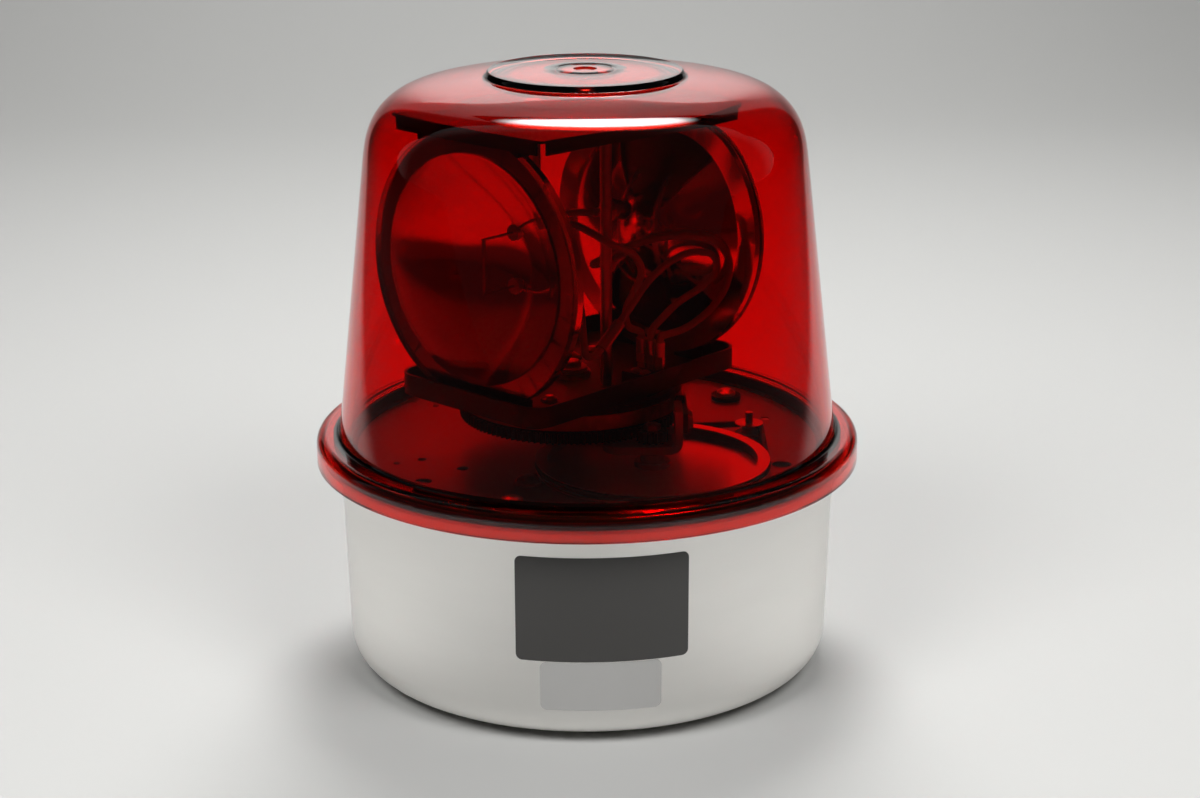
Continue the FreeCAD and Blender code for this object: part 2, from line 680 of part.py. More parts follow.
def make_post():
    shoulder = "bracket_height - post_collar_height"
    top = "%s + 5.8" % PAN_TOP
    groove = "%s + 3.0" % PAN_TOP
    low_radius = "post_thread"
    foot = "rim_height - post_washer - 1.4 * post_nut_height"
    keep("centre_post", turned("centre_post", [
        (0, foot), (low_radius, foot), (low_radius, DECK_TOP),
        ("post_radius", DECK_TOP), ("post_radius", shoulder), ("post_collar", shoulder),
        ("post_collar", "bracket_height"), ("post_radius", "bracket_height"),
        ("post_radius", groove), ("post_radius - 0.8", groove),
        ("post_radius - 0.8", groove + " + 1.1"), ("post_radius", groove + " + 1.1"),
        ("post_radius", top), ("post_radius - 0.8", top + " + 0.8"), (0, top + " + 0.8"),
    ], *ROTOR))
    washers = [
        tube("washer", "post_thread + run_gap", "0.8 * post_nut_flats",
             "rim_height - post_washer", "rim_height", *ROTOR),
        tube("washer", "post_radius + run_gap", 9.0, BRACKET_TOP,
             BRACKET_TOP[:-1] + " + thrust_washer)", *ROTOR),
        tube("washer", "post_radius + run_gap", 7.4, "%s + 2.2" % PAN_TOP,
             "%s + 2.8" % PAN_TOP, *ROTOR),
    ]
    group("post_washers", washers)
    keep("post_nut", nut("post_nut", "post_nut_flats", "post_thread", "post_nut_height",
                         "rotor_x", "rotor_y",
                         "rim_height - post_washer - post_nut_height"))
    keep("retaining_ring", tube("retaining_ring", "post_radius - 0.75", 6.6, groove + " + 0.05",
                                groove + " + 1.05", *ROTOR))


def make_spindle_bracket():
    body = new_body("spindle_bracket", "wheel_x", "wheel_y", "bracket_height")
    half = "bracket_width / 2"
    strip = new_sketch(body, "XY_Plane", "Strip")
    outline(strip, [
        ("-bracket_left + %s" % half, "-(%s)" % half, half, 1),
        ("bracket_right", "-(%s)" % half), ("bracket_right", half),
        ("-bracket_left + %s" % half, half), ("-bracket_left", 0, half, 1)])
    pad(body, strip, "bracket_thickness")
    across = size("rotor_x") - size("wheel_x")
    along = size("rotor_y") - size("wheel_y")
    arm = new_sketch(body, "XY_Plane", "Arm", spin=math.degrees(math.atan2(along, across)))
    outline(arm, rectangle(0, -7, "sqrt((rotor_x - wheel_x)^2 + (rotor_y - wheel_y)^2)", 7))
    pad(body, arm, "bracket_thickness")
    eye = new_sketch(body, "XY_Plane", "Eye")
    circles(eye, [("rotor_x - wheel_x", "rotor_y - wheel_y", "bracket_hub")])
    pad(body, eye, "bracket_thickness")
    leg = new_sketch(body, "XZ_Plane", "Leg")
    bend = "bracket_bend"
    inner = "bracket_bend - bracket_thickness"
    outline(leg, [
        ("bracket_right - 1", 0), ("bracket_right", 0),
        ("bracket_right + bracket_bend", bend, bend, 1),
        ("bracket_right + bracket_bend", "bracket_leg"),
        ("bracket_right + %s" % inner, "bracket_leg"), ("bracket_right + %s" % inner, bend),
        ("bracket_right", "bracket_thickness", inner, -1),
        ("bracket_right - 1", "bracket_thickness")])
    pad(body, leg, "bracket_width", both_ways=True)
    holes = new_sketch(body, "XY_Plane", "Bores")
    circles(holes, [(0, 0, "spindle_radius + run_gap + bush_wall"),
                    ("rotor_x - wheel_x", "rotor_y - wheel_y", "post_radius + run_gap")])
    pocket(body, holes)
    taps = new_sketch(body, "YZ_Plane", "BrushHoles")
    circles(taps, [(-5, "bracket_leg - 5", 1.3), (3, "bracket_leg - 5", 1.3)])
    pocket(body, taps, through=False, length=20, reverse=True)
    keep("spindle_bracket", body)
    bush = "spindle_radius + run_gap"
    keep("bracket_bush", turned("bracket_bush", [
        (bush, -0.7), ("spindle_radius + run_gap + bush_wall + 1.2", -0.7),
        ("spindle_radius + run_gap + bush_wall + 1.2", 0),
        ("spindle_radius + run_gap + bush_wall", 0),
        ("spindle_radius + run_gap + bush_wall", "bracket_thickness"),
        (bush, "bracket_thickness")], "wheel_x", "wheel_y", "bracket_height"))
    low = "pinion_seat + run_gap"
    keep("deck_bush", turned("deck_bush", [
        (low, -7), ("pinion_seat + run_gap + bush_wall", -7),
        ("pinion_seat + run_gap + bush_wall", "deck_thickness"),
        (6.8, "deck_thickness"), (6.8, "deck_thickness + 0.4"), (low, "deck_thickness + 0.4")],
        "wheel_x", "wheel_y", "rim_height"))


def groove(radius, low):
    """Rim section of a belt pulley with its V groove, going upwards; low is its underside."""
    return [
        (radius, low),
        (radius, low + " + (wheel_web + wheel_lip - groove_mouth) / 2"),
        (radius + " - groove_depth", low + " + (wheel_web + wheel_lip - groove_floor) / 2"),
        (radius + " - groove_depth", low + " + (wheel_web + wheel_lip + groove_floor) / 2"),
        (radius, low + " + (wheel_web + wheel_lip + groove_mouth) / 2"),
        (radius, low + " + wheel_web + wheel_lip"),
    ]


def make_wheel():
    inside = "wheel_radius - groove_depth - 1.6"
    keep("drive_wheel", turned("drive_wheel", [
        ("spindle_radius", -0.3), (6.8, -0.3), (6.8, 0)] + groove("wheel_radius", "0") + [
        (inside, "wheel_web + wheel_lip"), (inside, "wheel_web"),
        ("spindle_radius", "wheel_web")], "wheel_x", "wheel_y", WHEEL_LOW))
    flange = WEB_TOP[:-1] + " + spindle_flange_height)"
    under = "(bracket_height - 0.8)"
    pinion = "(bracket_height + bracket_thickness + 0.2)"
    tip = "(bracket_height + bracket_thickness + 0.4 + pinion_width)"
    keep("wheel_spindle", turned("wheel_spindle", [
        (0, "rim_height - 8"), ("pinion_seat", "rim_height - 8"),
        ("pinion_seat", "(rim_height + deck_thickness + wheel_lift - 0.3)"),
        ("spindle_radius", "(rim_height + deck_thickness + wheel_lift - 0.3)"),
        ("spindle_radius", WEB_TOP), ("spindle_flange", WEB_TOP), ("spindle_flange", flange),
        ("spindle_boss", flange), ("spindle_boss", under), ("spindle_radius", under),
        ("spindle_radius", pinion), ("pinion_seat", pinion), ("pinion_seat", tip),
        ("pinion_seat - 0.7", tip), ("pinion_seat - 0.7", tip + " + 2.6"), (0, tip + " + 2.6")],
        *WHEEL))
    body = new_body("pinion_nut", "wheel_x", "wheel_y", tip)
    sketch = new_sketch(body, "XY_Plane", "Hexagon")
    outline(sketch, hexagon(6.0))
    circles(sketch, [(0, 0, "pinion_seat - 0.7")])
    pad(body, sketch, 2.2)
    keep("pinion_nut", body)


def make_pulley():
    low = "(rim_height + deck_thickness + wheel_lift)"
    keep("motor_pulley", turned("motor_pulley", [
        ("shaft_radius", low)] + groove("pulley_radius", low) + [
        ("shaft_radius", low + " + wheel_web + wheel_lip")], *MOTOR))
    keep("motor_shaft", tube("motor_shaft", 0, "shaft_radius",
                             "rim_height - stack_drop - stack_height - bridge_rise - 4",
                             low + " + wheel_web + wheel_lip + shaft_tip", *MOTOR))


def make_belt():
    """The round belt: two arcs and the two outer tangents, swept with a circle."""
    high = size("%s + (wheel_web + wheel_lip) / 2" % WHEEL_LOW)
    big = Vector(size("wheel_x"), size("wheel_y"), high)
    small = Vector(size("motor_x"), size("motor_y"), high)
    big_radius = size("wheel_radius - belt_sink")
    small_radius = size("pulley_radius - belt_sink")
    span = small - big
    lean = math.acos((big_radius - small_radius) / span.Length)
    base = math.atan2(span.y, span.x)

    def on(centre, radius, angle):
        return centre + Vector(math.cos(angle), math.sin(angle), 0) * radius

    upper, lower = base + lean, base - lean
    wire = Part.Wire([
        Part.Arc(on(big, big_radius, upper), on(big, big_radius, base + math.pi),
                 on(big, big_radius, lower)).toShape(),
        Part.makeLine(on(big, big_radius, lower), on(small, small_radius, lower)),
        Part.Arc(on(small, small_radius, lower), on(small, small_radius, base),
                 on(small, small_radius, upper)).toShape(),
        Part.makeLine(on(small, small_radius, upper), on(big, big_radius, upper)),
    ])
    start = on(big, big_radius, upper)
    ahead = Vector(-math.sin(upper), math.cos(upper), 0)
    section = Part.Face(Part.Wire([Part.makeCircle(size("belt_radius"), start, ahead)]))
    solid_feature("drive_belt", wire.makePipe(section))


# ---- gears ----------------------------------------------------------------------------------

def gear_points(teeth, addendum, dedendum):
    """Corner points of an involute spur gear, teeth first one on +X."""
    module = size("gear_module")
    pressure = math.radians(20)
    pitch = module * teeth / 2
    base = pitch * math.cos(pressure)
    tip = pitch + addendum
    root = pitch - dedendum
    half_pitch = math.pi / 2 / teeth - size("gear_backlash") / 2 / pitch
    roll = math.tan(pressure) - pressure

    def half_angle(radius):
        if radius <= base:
            return half_pitch + roll
        angle = math.acos(base / radius)
        return half_pitch + roll - (math.tan(angle) - angle)

    flank = [root, max(root + 0.02, base), (max(root, base) + tip) / 2, tip]
    points = []
    for tooth in range(teeth):
        middle = 2 * math.pi * tooth / teeth
        for radius in flank:
            angle = middle - half_angle(radius)
            points.append(Vector(radius * math.cos(angle), radius * math.sin(angle), 0))
        for radius in reversed(flank):
            angle = middle + half_angle(radius)
            points.append(Vector(radius * math.cos(angle), radius * math.sin(angle), 0))
    return points


def prism(points, height):
    wire = Part.makePolygon(points + [points[0]])
    return Part.Face(wire).extrude(Vector(0, 0, height))


def make_gears():
    wide = size("gear_width")
    teeth = prism(gear_points(int(size("gear_teeth")), size("gear_addendum"),
                              size("1.1 * gear_module")), wide)
    high = size("drum_height")
    outer = size("drum_radius")
    inner = outer - size("drum_wall")
    drum = Part.makeCylinder(outer, high)
    hollow = Part.makeCylinder(inner, high, Vector(0, 0, size("drum_floor")))
    hub = Part.makeCylinder(size("drum_hub"), high)
    bore = Part.makeCylinder(size("post_radius + run_gap + bush_wall"), 3 * high,
                             Vector(0, 0, -high))
    shape = teeth.fuse(drum).cut(hollow).fuse(hub)
    for x, y in PAN_SCREWS:
        shape = shape.fuse(Part.makeCylinder(4.0, high, Vector(x, y, 0)))
    shape = shape.cut(bore)
    for x, y in PAN_SCREWS:
        shape = shape.cut(Part.makeCylinder(1.5, high, Vector(x, y, size("drum_floor"))))
    solid_feature("turntable_gear", shape.removeSplitter(), turntable_place(z=GEAR_LOW))
    pinion = prism(gear_points(int(size("pinion_teeth")), size("gear_module"),
                               size("1.0 * gear_module")), size("pinion_width"))
    pinion = pinion.cut(Part.makeCylinder(size("pinion_seat"), 30, Vector(0, 0, -10)))
    across = size("wheel_x") - size("rotor_x")
    along = size("wheel_y") - size("rotor_y")
    line = math.degrees(math.atan2(along, across))
    # A gap of the pinion faces the post where a tooth of the ring gear faces the spindle.
    step = 360.0 / size("gear_teeth")
    gear_phase = -size("rotor_angle")
    offset = (line - gear_phase) / step
    past = (offset - math.floor(offset)) * step
    pinion_step = 360.0 / size("pinion_teeth")
    ratio = size("gear_teeth") / size("pinion_teeth")
    turn = line + 180 + pinion_step / 2 + past * ratio
    place = Placement(Vector(size("wheel_x"), size("wheel_y"),
                             size(BRACKET_TOP[:-1] + " + 0.4)")),
                      Rotation(Vector(0, 0, 1), turn))
    solid_feature("pinion", pinion, place)


# ---- turntable ------------------------------------------------------------------------------

PAN_SCREWS = [(-18, -32), (18, -32), (-18, 32), (18, 32)]


def make_turntable():
    keep("slip_ring", tube("slip_ring", "drum_radius", "drum_radius + ring_thickness",
                           DRUM_TOP[:-1] + " - ring_drop - ring_height)",
                           DRUM_TOP[:-1] + " - ring_drop)", *ROTOR))
    bush = "post_radius + run_gap"
    outer = "post_radius + run_gap + bush_wall"
    keep("turntable_bush", turned("turntable_bush", [
        (bush, GEAR_LOW), (outer, GEAR_LOW), (outer, PAN_TOP), ("%s + 1.6" % outer, PAN_TOP),
        ("%s + 1.6" % outer, "%s + 2.0" % PAN_TOP), (bush, "%s + 2.0" % PAN_TOP)], *ROTOR))
    body = new_body("lower_pan")
    body.Placement = turntable_place(z=DRUM_TOP)
    outside = new_sketch(body, "XY_Plane", "Outside")
    outline(outside, rounded("pan_half_width", "pan_half_length", "pan_corner"))
    pad(body, outside, "pan_lip")
    inside = new_sketch(body, "XY_Plane", "Inside", lift="pan_sheet")
    outline(inside, rounded("pan_half_width - pan_sheet", "pan_half_length - pan_sheet",
                            "pan_corner - pan_sheet"))
    pocket(body, inside, through=False, length="pan_lip", reverse=True)
    holes = new_sketch(body, "XY_Plane", "Holes")
    circles(holes, [(0, 0, outer + " + run_gap")] + [(x, y, 1.7) for x, y in PAN_SCREWS] +
            [("rod_offset", 0, "rod_radius - 0.6"), ("-rod_offset", 0, "rod_radius - 0.6")])
    pocket(body, holes, through=False, length="2 * pan_sheet", reverse=True)
    keep("lower_pan", body)
    screws = []
    for x, y in PAN_SCREWS:
        screw = round_screw("screw", 1.45, 9, 3.4, 2.2)
        screw.Placement = turntable_place(x, y, PAN_TOP)
        screws.append(screw)
    group("pan_screws", screws)


def make_cap():
    body = new_body("upper_pan")
    body.Placement = turntable_place(z=CAP_LOW)
    plate = new_sketch(body, "XY_Plane", "Plate")
    outline(plate, rounded("cap_half_width", "cap_half_length", "0.6 * cap_corner"))
    pad(body, plate, "cap_sheet")
    lips = new_sketch(body, "XY_Plane", "Lips", lift="cap_sheet / 2")
    for sign in (-1, 1):
        x_out = "%d * cap_half_width" % sign
        x_in = "%d * (cap_half_width - cap_sheet)" % sign
        y_out = "%d * cap_half_length" % sign
        y_in = "%d * (cap_half_length - cap_sheet)" % sign
        y_end = "(cap_half_length - cap_corner)"
        x_end = "(cap_half_width - cap_corner)"
        box = [(x_in, "-" + y_end), (x_out, "-" + y_end), (x_out, y_end), (x_in, y_end)]
        closed_box(lips, box if sign > 0 else box[::-1])
        box = [("-" + x_end, y_out), (x_end, y_out), (x_end, y_in), ("-" + x_end, y_in)]
        closed_box(lips, box[::-1] if sign > 0 else box)
    pad(body, lips, "cap_lip - cap_sheet / 2", reverse=True)
    holes = new_sketch(body, "XY_Plane", "Holes")
    circles(holes, [("rod_offset", 0, 1.6), ("-rod_offset", 0, 1.6)])
    pocket(body, holes)
    sinks = new_sketch(body, "XY_Plane", "Countersinks", lift="cap_sheet")
    circles(sinks, [("rod_offset", 0, 3.4), ("-rod_offset", 0, 3.4)])
    pocket(body, sinks, through=False, length="0.7 * cap_sheet")
    keep("upper_pan", body)


def closed_box(sketch, corners):
    """One more closed outline of straight lines in a sketch that may already hold some."""
    first = sketch.GeometryCount
    points = [Vector(size(x), size(y), 0) for x, y in corners]
    for index in range(len(points)):
        sketch.addGeometry(Part.LineSegment(points[index - 1], points[index]), False)
    for index in range(len(points)):
        following = (index + 1) % len(points)
        sketch.addConstraint(
            Sketcher.Constraint("Coincident", first + index, 2, first + following, 1))
    for index, (x, y) in enumerate(corners):
        pin_point(sketch, first + index, 2, x, y)


def make_rods():
    rods = []
    nuts = []
    screws = []
    for sign in (-1, 1):
        body = turned("rod", [
            (0, "-(pan_sheet + 4.4)"), ("rod_radius - 0.65", "-(pan_sheet + 4.4)"),
            ("rod_radius - 0.65", 0), ("rod_radius", 0), ("rod_radius", "2 * lamp_radius"),
            (1.55, "2 * lamp_radius"), (1.55, "2 * lamp_radius - 12"),
            (0, "2 * lamp_radius - 12")])
        body.Placement = turntable_place("%d * rod_offset" % sign, 0, PAN_TOP)
        rods.append(body)
        piece = nut("nut", 7.0, "rod_radius - 0.65", 3.0)
        piece.Placement = turntable_place("%d * rod_offset" % sign, 0,
                                          DRUM_TOP[:-1] + " - 3.0)")
        nuts.append(piece)
        screw = turned("screw", [
            (0, -9), (1.5, -9), (1.5, "0.3 * cap_sheet"), (3.3, "0.3 * cap_sheet"),
            (3.3, "cap_sheet"), (0, "cap_sheet")])
        screw.Placement = turntable_place("%d * rod_offset" % sign, 0, CAP_LOW)
        screws.append(screw)
    group("tie_rods", rods)
    group("tie_rod_fasteners", screws + nuts)


# ---- lamps ----------------------------------------------------------------------------------

FACING = {"front": Rotation(Vector(1, 0, 0), 90), "rear": Rotation(Vector(1, 0, 0), -90)}


def lamp_place(side, deep=0, across=0, up=0):
    """Placement in a lamp's own axes: Z looks out of the lens, 0 is the lens rim."""
    sign = -1 if side == "front" else 1
    return turntable_place(across, "%d * (lamp_face - (%s))" % (sign, deep),
                           LAMP_MID[:-1] + " + (%s))" % up, FACING[side])


def mirror_curve(offset, reach, first=0.0):
    """Points of the mirror's section, from the axis outwards, moved back by offset."""
    depth = size("mirror_depth")
    mouth = size("mirror_radius")
    start = -size("lamp_rim") / 2 - depth - offset
    points = []
    for step in range(0, 9):
        radius = first + (reach - first) * step / 8.0
        points.append(Vector(radius, 0, start + depth * (radius / mouth) ** 2))
    return points


def mirror_glass():
    """The pressed back of a lamp: paraboloid bowl, flat rim, two holes for the terminals."""
    mouth = size("mirror_radius")
    wall = size("glass_wall")
    rim = size("lamp_radius")
    middle = -size("lamp_rim") / 2
    inner = mirror_curve(0, mouth)
    outer = mirror_curve(wall, mouth)
    bowl = Part.BSplineCurve()
    bowl.interpolate(inner)
    back = Part.BSplineCurve()
    back.interpolate(outer)
    edges = [
        bowl.toShape(),
        Part.makeLine(inner[-1], Vector(rim, 0, middle)),
        Part.makeLine(Vector(rim, 0, middle), Vector(rim, 0, middle - wall)),
        Part.makeLine(Vector(rim, 0, middle - wall), outer[-1]),
        back.toShape(),
        Part.makeLine(outer[0], inner[0]),
    ]
    shape = Part.Face(Part.Wire(Part.__sortEdges__(edges))).revolve(
        Vector(0, 0, 0), Vector(0, 0, 1), 360)
    for sign in (-1, 1):
        at = Vector(0, sign * size("terminal_pitch") / 2, -50)
        shape = shape.cut(Part.makeCylinder(size("terminal_radius + run_gap"), 40, at))
    return shape


def make_lamp(side):
    bulge = "(mirror_radius^2 + lens_rise^2) / (2 * lens_rise)"
    lens = turned(side + "_lamp_lens", [
        ("lamp_radius", "-lamp_rim / 2"), ("lamp_radius", 0), ("mirror_radius", 0),
        (0, "lens_rise", bulge, 1), (0, "lens_rise - glass_wall"),
        ("mirror_radius", "-glass_wall", bulge, -1)])
    lens.Placement = lamp_place(side)
    keep(side + "_lamp_lens", lens)
    solid_feature(side + "_lamp_mirror", mirror_glass(), lamp_place(side))
    floor = "-lamp_rim / 2 - mirror_depth"
    terminals = []
    posts = []
    for sign in (-1, 1):
        high = "%d * terminal_pitch / 2" % sign
        ferrule = turned("terminal", [
            (0, "%s + 2.6" % floor), ("terminal_radius", "%s + 2.6" % floor),
            ("terminal_radius", "%s - 6" % floor), ("terminal_radius + 1.8", "%s - 6" % floor),
            ("terminal_radius + 1.8", "%s - 8" % floor), (1.8, "%s - 8" % floor),
            (1.8, "%s - 8 - terminal_reach" % floor), (0, "%s - 8 - terminal_reach" % floor),
        ])
        ferrule.Placement = lamp_place(side, 0, 0, high)
        terminals.append(ferrule)
        post = tube("post", 0, 0.6, "%s + 2.6" % floor, "-8")
        post.Placement = lamp_place(side, 0, 0, high)
        posts.append(post)
    across = doc.addObject("Part::Cylinder", "Filament")
    across.setExpression("Radius", "0.9 mm")
    across.Height = size("terminal_pitch") - 1.2
    turn = Rotation(Vector(1, 0, 0), -90)
    across.Placement = lamp_place(side).multiply(
        Placement(Vector(0, -size("terminal_pitch") / 2 + 0.6, -8.9), turn))
    posts.append(across)
    group(side + "_lamp_terminals", terminals)
    group(side + "_lamp_filament", posts)


def make_saddles():
    """Rubber wedges that hold the round glass rims on the flat pans."""
    lower = []
    upper = []
    for side in ("front", "rear"):
        for above in (False, True):
            for sign in (-1, 1):
                block = Part.makeBox(16, size("lamp_rim"), 7)
                radius = size("lamp_radius")
                y_low = size("lamp_face") - size("lamp_rim")
                if side == "front":
                    y_low = -size("lamp_face")
                base = size(CAP_LOW) - 7 if above else size(PAN_TOP)
                x_low = 12 if sign > 0 else -28
                block.translate(Vector(x_low, y_low, base))
                rim = Part.makeCylinder(radius, 300, Vector(0, -150, size(LAMP_MID)),
                                        Vector(0, 1, 0))
                feature = doc.addObject("Part::Feature", "Saddle")
                feature.Shape = block.cut(rim)
                feature.Placement = turntable_place()
                (upper if above else lower).append(feature)
    group("lamp_saddles", lower + upper)


# ---- leads ----------------------------------------------------------------------------------

def lead(points, radius):
    """A round lead: straight runs with tangent arcs at the corners."""
    count = len(points)
    edges = []
    last = points[0]
    for index in range(1, count - 1):
        before = points[index - 1] - points[index]
        after = points[index + 1] - points[index]
        half_turn = (math.pi - before.getAngle(after)) / 2
        if half_turn < 0.02:
            continue
        cut = 0.45 * min(before.Length, after.Length)
        ahead = Vector(before).normalize()
        behind = Vector(after).normalize()
        start = points[index] + ahead * cut
        end = points[index] + behind * cut
        bisector = (ahead + behind).normalize()
        bend = cut / math.tan(half_turn)
        centre_reach = math.hypot(cut, bend)
        middle = points[index] + bisector * (centre_reach - bend)
        edges.append(Part.makeLine(last, start))
        edges.append(Part.Arc(start, middle, end).toShape())
        last = end
    edges.append(Part.makeLine(last, points[-1]))
    ahead = (points[1] - points[0]).normalize()
    section = Part.Face(Part.Wire([Part.makeCircle(radius, points[0], ahead)]))
    return Part.Wire(edges).makePipe(section)


# Routes of the lamp leads in the turntable's own axes, written for this lamp radius, with
# heights from the middle of the lamps. They grow with the lamps.
ROUTE_LAMP = 56.1
LAMP_LEADS = [
    [(0, -13.6, 11), (4, -8, 12), (15, -8, 11), (26, -6, 6.5), (27.5, 9, -1), (28, 14, -9),
     (27.5, 9, -16.5), (27, 3.5, -24), (26.5, 5.5, -31.5), (26, 14, -35), (26, 15, -36.5),
     (26, 15, -41)],
    [(31, 15, -41), (31, 15, -34), (33, 29, -24.5), (38, 39.5, -19), (43, 44, -12),
     (42, 42.5, -4.5), (37, 33, -2.5), (33, 24, -6), (30, 14, -13), (28.5, 6, -22),
     (28, -3, -30)],
    [(36, 15, -41), (36, 15, -35.5), (37, 30, -35.5), (41, 41.5, -29), (47, 45, -18),
     (48, 46, -7), (43, 43, 1.5), (32, 31, 4), (17, 19, 0), (4, 9, -9), (0, 13.6, -11)],
    [(0, -13.6, -11), (4, -8, -12), (14, -9, -20), (23, -17, -31), (27, -20, -39),
     (28, -15, -39), (28, -9.5, -35)],
    [(0, 13.6, 11), (-4, 8, 12), (-17, 8, 8), (-28, 12, -7), (-30, 12, -34), (-24, 13, -51),
     (-10, 16, -54.2)],
]
SPADES = [(0, -1), (1, 0), (2, 0)]
SPLICE = (1, 3)


def route(path):
    grow = size("lamp_radius") / ROUTE_LAMP
    middle = Vector(0, 0, size(LAMP_MID))
    return [Vector(*point) * grow + middle for point in path]


def make_lamp_leads():
    thick = size("lead_radius")
    members = []
    for path in LAMP_LEADS:
        feature = doc.addObject("Part::Feature", "Lead")
        feature.Shape = lead(route(path), thick)
        feature.Placement = turntable_place()
        members.append(feature)
    group("lamp_leads", members)
    sleeves = []
    for index, last in SPADES:
        points = route(LAMP_LEADS[index])
        end = points[last]
        ahead = (end - points[-2 if last == -1 else 1]).normalize()
        start = end - ahead * (2 * thick)
        sleeve = Part.makeCylinder(1.5 * thick, 4 * thick, start, ahead)
        sleeve = sleeve.cut(Part.makeCylinder(thick + 0.03, 2 * thick + 0.03, start, ahead))
        blade = Part.makeBox(3 * thick, thick, 3 * thick,
                             Vector(-1.5 * thick, -thick / 2, 0))
        slot = Part.makeBox(2.7 * thick, thick / 2 + 0.1, 3 * thick,
                            Vector(-1.35 * thick, -thick / 4 - 0.05, thick))
        receptacle = blade.cut(slot)
        receptacle.Placement = Placement(end - Vector(0, 0, 1.9 * thick),
                                         Rotation(Vector(0, 0, 1), Vector(0, 0, -1)))
        feature = doc.addObject("Part::Feature", "Spade")
        feature.Shape = sleeve.fuse(receptacle)
        feature.Placement = turntable_place()
        sleeves.append(feature)
    one = route(LAMP_LEADS[SPLICE[0]])[-1]
    two = route(LAMP_LEADS[SPLICE[1]])[-1]
    along = (two - one).normalize()
    barrel = Part.makeCylinder(1.7 * thick, (two - one).Length + 4 * thick,
                               one - along * (2 * thick), along)
    bore = Part.makeCylinder(thick + 0.25, (two - one).Length + 8 * thick,
                             one - along * (4 * thick), along)
    feature = doc.addObject("Part::Feature", "Splice")
    feature.Shape = barrel.cut(bore)
    feature.Placement = turntable_place()
    sleeves.append(feature)
    group("lead_spades", sleeves)


def make_terminal_block():
    body = new_body("terminal_block")
    body.Placement = turntable_place("block_x", "block_y", PAN_TOP)
    sketch = new_sketch(body, "XY_Plane", "Block")
    outline(sketch, rectangle("-block_length / 2", "-block_width / 2", "block_length / 2",
                              "block_width / 2"))
    pad(body, sketch, "block_height")
    holes = new_sketch(body, "XY_Plane", "Holes")
    circles(holes, [("-block_pitch / 2", "-block_width / 4", "block_screw + run_gap"),
                    ("block_pitch / 2", "-block_width / 4", "block_screw + run_gap")])
    pocket(body, holes)
    keep("terminal_block", body)
    screws = []
    for sign in (-1, 1):
        screw = round_screw("screw", "block_screw", "block_height - fit_gap",
                            "1.6 * block_screw", "1.1 * block_screw")
        screw.Placement = turntable_place("block_x + %d * block_pitch / 2" % sign,
                                          "block_y - block_width / 4",
                                          PAN_TOP[:-1] + " + block_height)")
        screws.append(screw)
    for shift in (-1, 0, 1):
        tab = doc.addObject("Part::Box", "Tab")
        tab.Length = size("block_pitch * 0.8")
        tab.Width = size("lead_radius / 2")
        tab.Height = size("block_height")
        tab.Placement = turntable_place(
            "block_x + %d * block_pitch - block_pitch * 0.4" % shift,
            "block_y + block_width / 4 - lead_radius / 4",
            PAN_TOP[:-1] + " + block_height)")
        screws.append(tab)
    group("terminal_block_screws", screws)


# ---- brush for the slip ring ------------------------------------------------------------------

def make_brush():
    outside = size("wheel_x + bracket_right + bracket_bend")
    middle = size("wheel_y")
    high = size("bracket_height + bracket_leg - 5")
    plate = Part.makeBox(2.0, 15, 8, Vector(outside, middle - 7.5, high - 4))
    arm = Part.makeBox(0.5, 34, 6, Vector(outside + 2.0, middle - 7.5, high - 3))
    heads = []
    for shift in (-5, 3):
        drill = Part.makeCylinder(1.35, 20, Vector(outside - 1, middle + shift, high),
                                  Vector(1, 0, 0))
        plate = plate.cut(drill)
        arm = arm.cut(drill)
        screw = Part.makeCylinder(1.3, 5.7, Vector(outside - 3.2, middle + shift, high),
                                  Vector(1, 0, 0))
        head = Part.makeCylinder(2.4, 1.6, Vector(outside + 2.5, middle + shift, high),
                                 Vector(1, 0, 0))
        feature = doc.addObject("Part::Feature", "Screw")
        feature.Shape = screw.fuse(head)
        heads.append(feature)
    reach = middle + 23.5
    ring = Part.makeCylinder(size("drum_radius + ring_thickness + 0.1"), 60,
                             Vector(size("rotor_x"), size("rotor_y"), high - 30))
    carbon = Part.makeCylinder(2.4, 12, Vector(outside + 2.0, reach, high), Vector(-1, 0, 0))
    carbon = carbon.cut(ring)
    solid_feature("brush_insulator", plate)
    solid_feature("brush_arm", arm)
    solid_feature("carbon_brush", max(carbon.Solids, key=lambda solid: solid.CenterOfMass.x))
    group("brush_screws", heads)


# ---- motor ------------------------------------------------------------------------------------

